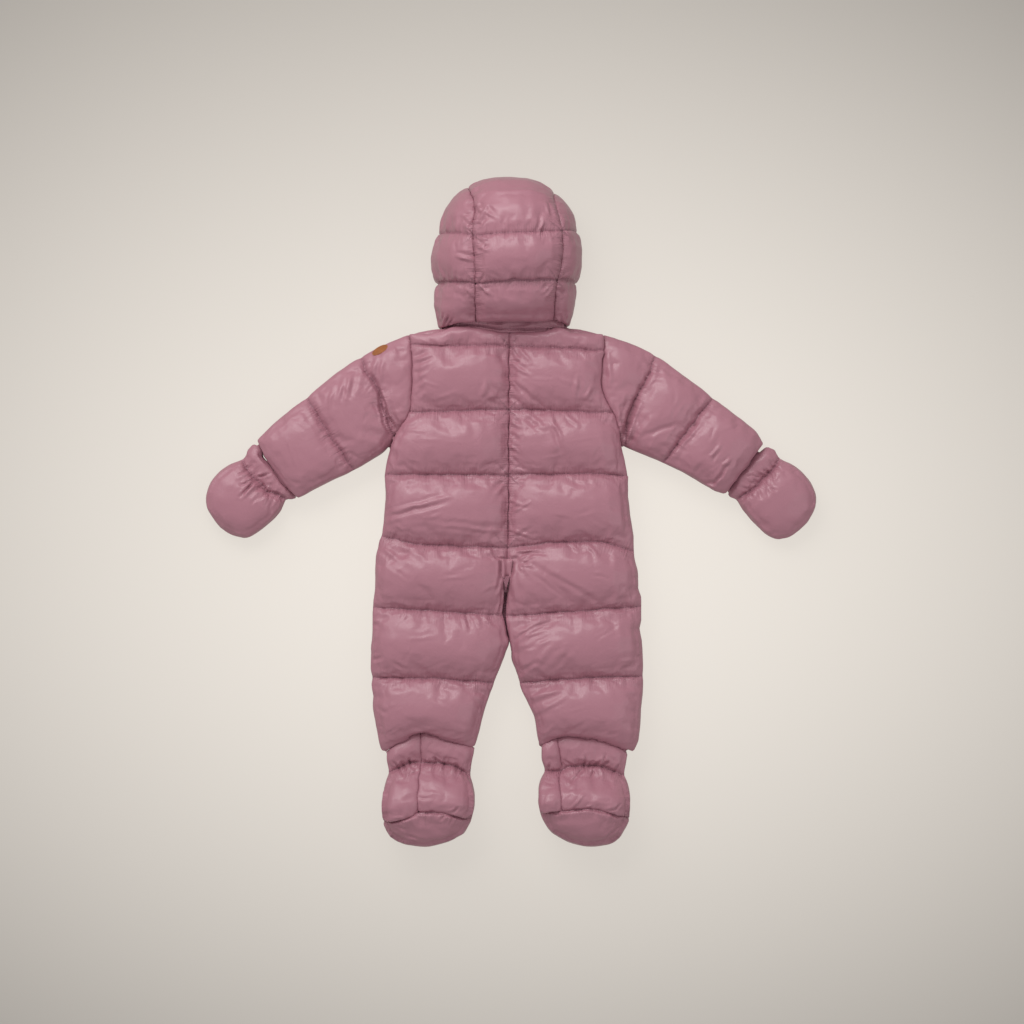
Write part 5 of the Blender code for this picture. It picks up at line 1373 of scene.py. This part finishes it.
# ---------------------------------------------------------------- seat zip
# The zip runs on through the crotch and ends in the slit at the seat. Only its folded tape end
# and the first few teeth show, under the cloth tab; the rest lies deep between the back halves.
# In millimetres: the tape's ends along, its middle line and half width by the place along, how
# deep it lies and from where to where it rises, how far beside it the cloth's height is taken,
# where its teeth begin, their pitch, and how far under the cloth it stays.
SEAT_TOP = -76.5
SEAT_FOOT = -154.5
SEAT_MIDDLE = (
    (-154.5, -141.5, -130.5, -119, -108.5, -96, -88.5, -79, -76.5),
    (-3.3, -5.5, -7.8, -8.8, -7.4, -6.5, -6.2, -6, -6),
)
SEAT_HALF = ((-154.5, -101, -96, -90, -88, -79.5, -76.5), (2.5, 2.5, 1.6, 1.3, 1.6, 3.9, 4.2))
SEAT_DEEP = 31.5
SEAT_SINK = (-99.5, -93.0)
SEAT_SIDE = 7.0
SEAT_TEETH = -90.2
SEAT_PITCH = 2.1
SEAT_BELOW = 2.6
BACK_PIECES = ("back_left", "back_right")


def grid_of(piece):
    """The points of a strip, their order row by row, and how many rows and columns it has."""
    points = coordinates(piece.data) * MM
    up = np.round(points[:, 1], 6)
    rows = len(np.unique(up))
    return points, np.lexsort((points[:, 0], up)), rows, len(points) // rows


def heights_under(trees, spots):
    """The height of the dressed pieces under each spot in plan, or the seat's depth off them."""
    found = [surface_at(trees, x, y) for x, y in spots]
    return np.array([SEAT_DEEP if spot is None else spot[0].z for spot in found])


def search_trees(names):
    """A search tree for each dressed piece."""
    view = bpy.context.evaluated_depsgraph_get()
    return [BVHTree.FromObject(DRESSED[name], view) for name in names]


def surface_at(trees, x, y, way=-1.0):
    """The outermost place of the dressed pieces over a spot in plan, and its normal, or None."""
    best = None
    for tree in trees:
        spot, normal, _, _ = tree.ray_cast(Vector((x * MM, y * MM, -0.2 * way)), Vector((0.0, 0.0, way)))
        if spot is not None and (best is None or (spot.z - best[0].z) * way < 0.0):
            best = (spot / MM, normal)
    return best


def draped(trees, points, columns, rows, passes, lift):
    """Heights for a grid of points that lie over pieces, smoothed as stiff cloth smooths them."""
    low = heights_under(trees, points[:, :2]).reshape(rows, columns)
    high = low.copy()
    for _ in range(passes):
        wide = np.pad(high, 1, mode="edge")
        high = (wide[:-2, 1:-1] + wide[2:, 1:-1] + wide[1:-1, :-2] + wide[1:-1, 2:]) / 4.0
        high = np.maximum(high, low)
    return (high + lift).ravel()


back_trees = search_trees(BACK_PIECES)
seat_tape = strip("seat_zip_tape", 8, 60)
points, order, rows, columns = grid_of(seat_tape)
shaped = np.empty_like(points)
shaped[:, 1] = SEAT_FOOT + (SEAT_TOP - SEAT_FOOT) * (points[:, 1] + 0.5)
shaped[:, 0] = np.interp(shaped[:, 1], *SEAT_MIDDLE)
shaped[:, 0] += 2.0 * points[:, 0] * np.interp(shaped[:, 1], *SEAT_HALF)
over = shaped[order]
bridge = np.zeros(len(over))
for side in (-SEAT_SIDE, SEAT_SIDE):
    beside = np.interp(over[:, 1], *SEAT_MIDDLE) + side
    bridge += 0.5 * heights_under(back_trees, np.stack((beside, over[:, 1]), axis=1))
over[:, 2] = bridge - SEAT_BELOW
sunk = ramp((over[:, 1] - SEAT_SINK[0]) / (SEAT_SINK[1] - SEAT_SINK[0]))
sunk = sunk * sunk * (3.0 - 2.0 * sunk)
over[:, 2] = SEAT_DEEP + (np.maximum(over[:, 2], SEAT_DEEP) - SEAT_DEEP) * sunk
shaped[order] = over
set_coordinates(seat_tape.data, shaped)
spine = over[columns // 2::columns]
give_body(seat_tape, 0.6, 0.15)
dress(seat_tape, TAPE)
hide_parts("zip_seat")
places = []
for number in range(int((SEAT_TEETH - SEAT_FOOT) / SEAT_PITCH)):
    y = SEAT_TEETH - number * SEAT_PITCH
    spot = [np.interp(y, spine[:, 1], spine[:, part]) for part in range(3)]
    places.append(((spot[0], spot[1], spot[2] + 0.9), ACROSS, UPRIGHT))
seat_tooth = small_oval("seat_tooth", 2.1, 0.7, 0.8, 8, 5)
dress(copies_of(seat_tooth, "seat_zip_coil", places), COIL)

# ---------------------------------------------------------------- zip garage
# A tab of the suit's own nylon, folded double, is caught in a short stitched line across the seat
# seam and covers the end of the zip.
# In millimetres: its ends along, its two sides at the tip and at the head, and its corners.
GARAGE_HEAD = -56.2
GARAGE_TIP = -78.6
GARAGE_LEFT = (-11.4, -10.9)
GARAGE_RIGHT = (-1.2, 1.6)
GARAGE_CORNER = 1.6
garage = strip("zip_garage_tab", 14, 22)
points, order, rows, columns = grid_of(garage)
across, along = points[:, 0] + 0.5, points[:, 1] + 0.5
shaped = np.empty_like(points)
shaped[:, 1] = GARAGE_TIP + (GARAGE_HEAD - GARAGE_TIP) * along
left = np.interp(along, (0.0, 1.0), GARAGE_LEFT)
right = np.interp(along, (0.0, 1.0), GARAGE_RIGHT)
near_tip = ramp(1.0 - (shaped[:, 1] - GARAGE_TIP) / GARAGE_CORNER)
narrow = GARAGE_CORNER * (1.0 - np.sqrt(1.0 - near_tip ** 2))
shaped[:, 0] = (left + narrow) + (right - left - 2.0 * narrow) * across
over = shaped[order]
over[:, 2] = draped(back_trees, over, columns, rows, 10, 1.5)
below = GARAGE_HEAD - over[:, 1]
dome = np.sin(math.pi * ramp(across[order])) * ramp(below / 5.0)
over[:, 2] += 1.1 * dome - 1.3 * ramp(1.0 - below / 2.5)
shaped[order] = over
set_coordinates(garage.data, shaped)
give_body(garage, 1.5, 0.5)
refine(garage)
dress(garage, SHELL)
DRESSED["zip_garage"] = garage
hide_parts("zip_garage")

# ---------------------------------------------------------------- shoulder patch
# A small bare disc of tan leather, sewn on the left sleeve cap with a row of stitches inside its
# rounded rim. It follows the slope of the shoulder.
# In millimetres: its centre, its half lengths, its turn and thickness, and, as a share of its
# radius, where the stitches run.
PATCH_PLACE = (-157.4, 194.0)
PATCH_LONG = 10.5
PATCH_SHORT = 4.4
PATCH_TURN = math.radians(30.0)
PATCH_THICK = 1.4
PATCH_SEWN = 0.82
LEATHER_TAN = (0.44, 0.145, 0.03, 1.0)
LEATHER_DARK = (0.20, 0.055, 0.012, 1.0)


def leather():
    """Tan leather with a fine grain, cloudy dye and darker pores."""
    made, tree, shader = new_material("tan_leather")
    place = add_node(tree, "ShaderNodeTexCoord").outputs["Object"]
    grain = add_node(tree, "ShaderNodeTexVoronoi", {"Vector": place, "Scale": 1400.0},
                     feature="DISTANCE_TO_EDGE")
    shade = add_node(tree, "ShaderNodeMapRange",
                     {"Value": grain.outputs["Distance"], "From Max": 0.35}).outputs["Result"]
    share = maths(tree, "MULTIPLY_ADD", shade, 0.35, noise(tree, place, 190.0, 4.0))
    bump = add_node(tree, "ShaderNodeBump", {"Distance": 0.00012, "Height": shade})
    feed(tree, shader, {"Base Color": blend(tree, share, LEATHER_DARK, LEATHER_TAN),
                        "Normal": bump.outputs["Normal"], "Roughness": 0.5})
    return made


patch_trees = search_trees(("sleeve_left_upper",))
bpy.ops.object.select_all(action="DESELECT")
bpy.ops.mesh.primitive_circle_add(vertices=44, radius=1.0, fill_type="NGON")
patch = bpy.context.object
patch.name = "leather_patch"
bpy.ops.object.mode_set(mode="EDIT")
bpy.ops.mesh.select_all(action="SELECT")
for step in (0.07, 0.07, 0.05, 0.05, 0.12, 0.2, 0.2):
    bpy.ops.mesh.inset(thickness=step)
bpy.ops.mesh.poke()
bpy.ops.object.mode_set(mode="OBJECT")


def on_patch(spots):
    """Places on the patch's top, from places on a disc of radius one, as points in millimetres."""
    cosine, sine = math.cos(PATCH_TURN), math.sin(PATCH_TURN)
    long, short = PATCH_LONG * spots[:, 0], PATCH_SHORT * spots[:, 1]
    plan = np.stack((PATCH_PLACE[0] + long * cosine - short * sine,
                     PATCH_PLACE[1] + long * sine + short * cosine), axis=1)
    terms = np.stack((np.ones(len(spots)), spots[:, 0], spots[:, 1], spots[:, 0] ** 2,
                      spots[:, 1] ** 2), axis=1)
    return plan, terms


turns = np.linspace(0.0, 2.0 * math.pi, 24, endpoint=False)
probes = np.concatenate([radius * np.stack((np.cos(turns), np.sin(turns)), axis=1)
                         for radius in (0.3, 0.6, 0.85)])
plan, terms = on_patch(probes)
found = [surface_at(patch_trees, x, y) for x, y in plan]
hit = np.array([spot is not None for spot in found])
heights = np.array([spot[0].z if spot is not None else 0.0 for spot in found])
slope = np.linalg.lstsq(terms[hit], heights[hit], rcond=None)[0]
disc = coordinates(patch.data)[:, :2] * MM
radius = np.linalg.norm(disc, axis=1)
plan, terms = on_patch(disc)
rise = 0.9 - 0.3 * bell((radius - PATCH_SEWN) / 0.05) + 0.25 * (1.0 - radius ** 2)
set_coordinates(patch.data, np.column_stack((plan, terms @ slope + rise)))
give_body(patch, PATCH_THICK, 0.3)
dress(patch, leather())
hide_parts("shoulder_patch")
PATCH_STITCHES = 30
turns = np.linspace(0.0, 2.0 * math.pi, PATCH_STITCHES, endpoint=False)
rim, rim_terms = on_patch(PATCH_SEWN * np.stack((np.cos(turns), np.sin(turns)), axis=1))
rim = np.column_stack((rim, rim_terms @ slope + 0.72))
ahead = np.roll(rim, -1, axis=0) - np.roll(rim, 1, axis=0)
outward = np.cross(rim - rim.mean(axis=0), ahead)
thread_up = -outward / np.linalg.norm(outward, axis=1)[:, None]
thread_up *= np.sign(thread_up[:, 2:3])
patch_stitch = small_oval("patch_stitch", 0.62, 0.2, 0.16, 6, 4)
TAN_THREAD = woven("tan_thread", (0.16, 0.05, 0.018, 1.0), 1500.0, 0.7)
patch_thread = copies_of(patch_stitch, "patch_thread", zip(rim, ahead, thread_up))
dress(patch_thread, TAN_THREAD)

# ---------------------------------------------------------------- stitching
# Mauve polyester thread: a lockstitch along every quilt line and elastic, and the line that
# catches the tab at the seat.
STITCH_PITCH = 3.2
MAUVE_THREAD = woven("mauve_thread", (0.22, 0.075, 0.11, 1.0), 1500.0, 0.6)
quilt_stitch = small_oval("quilt_stitch", 1.15, 0.24, 0.2, 6, 4)


def stitch_places(trees, line, way=-1.0, pitch=STITCH_PITCH):
    """Where stitches lie along a line in plan, on the outer side of dressed pieces."""
    places, spots = [], []
    for start, end in zip(line[:-1], line[1:]):
        start, end = np.array(start, float), np.array(end, float)
        count = max(int(np.linalg.norm(end - start) / pitch), 1)
        spots += [start + (end - start) * (number + 0.5) / count for number in range(count)]
    spots = np.array(spots) + wander(np.array(spots))
    found = [surface_at(trees, x, y, way) for x, y in spots]
    for before, here, after in zip(found[:-2], found[1:-1], found[2:]):
        if before is not None and here is not None and after is not None:
            if abs(after[0].z - before[0].z) < 3.0:
                places.append((np.array(here[0]), np.array(after[0] - before[0]), np.array(here[1])))
    return places


HOOD_PANELS = [Panel(node, 0.0, 1, VOXEL, rows, ()) for node, rows in HOOD_ROWS.items()]
SEWN_GROUPS = {
    "back_thread": BACKS,
    "sleeve_thread": SLEEVES,
    "mitten_thread": MITTENS,
    "bootie_thread": [panel for panel in BOOTIES if "heel" in panel.node],
    "hood_thread": HOOD_PANELS,
    "under_thread": UNDERS,
}
for name, panels in SEWN_GROUPS.items():
    places = []
    for panel in panels:
        trees = search_trees((panel.node,))
        for line in panel.lines:
            places += stitch_places(trees, line, -panel.way)
    dress(copies_of(quilt_stitch, name, places), MAUVE_THREAD)
GARAGE_LINE = ((-16.8, -55.5), (4.4, -55.5))
catch_trees = search_trees(BACK_PIECES + ("zip_garage",))
places = stitch_places(catch_trees, GARAGE_LINE, -1.0, 2.2)
catch_stitch = small_oval("catch_stitch", 0.8, 0.26, 0.24, 6, 4)
dress(copies_of(catch_stitch, "garage_thread", places), MAUVE_THREAD)
for oval in (tooth, seat_tooth, patch_stitch, quilt_stitch, catch_stitch):
    bpy.data.objects.remove(oval)
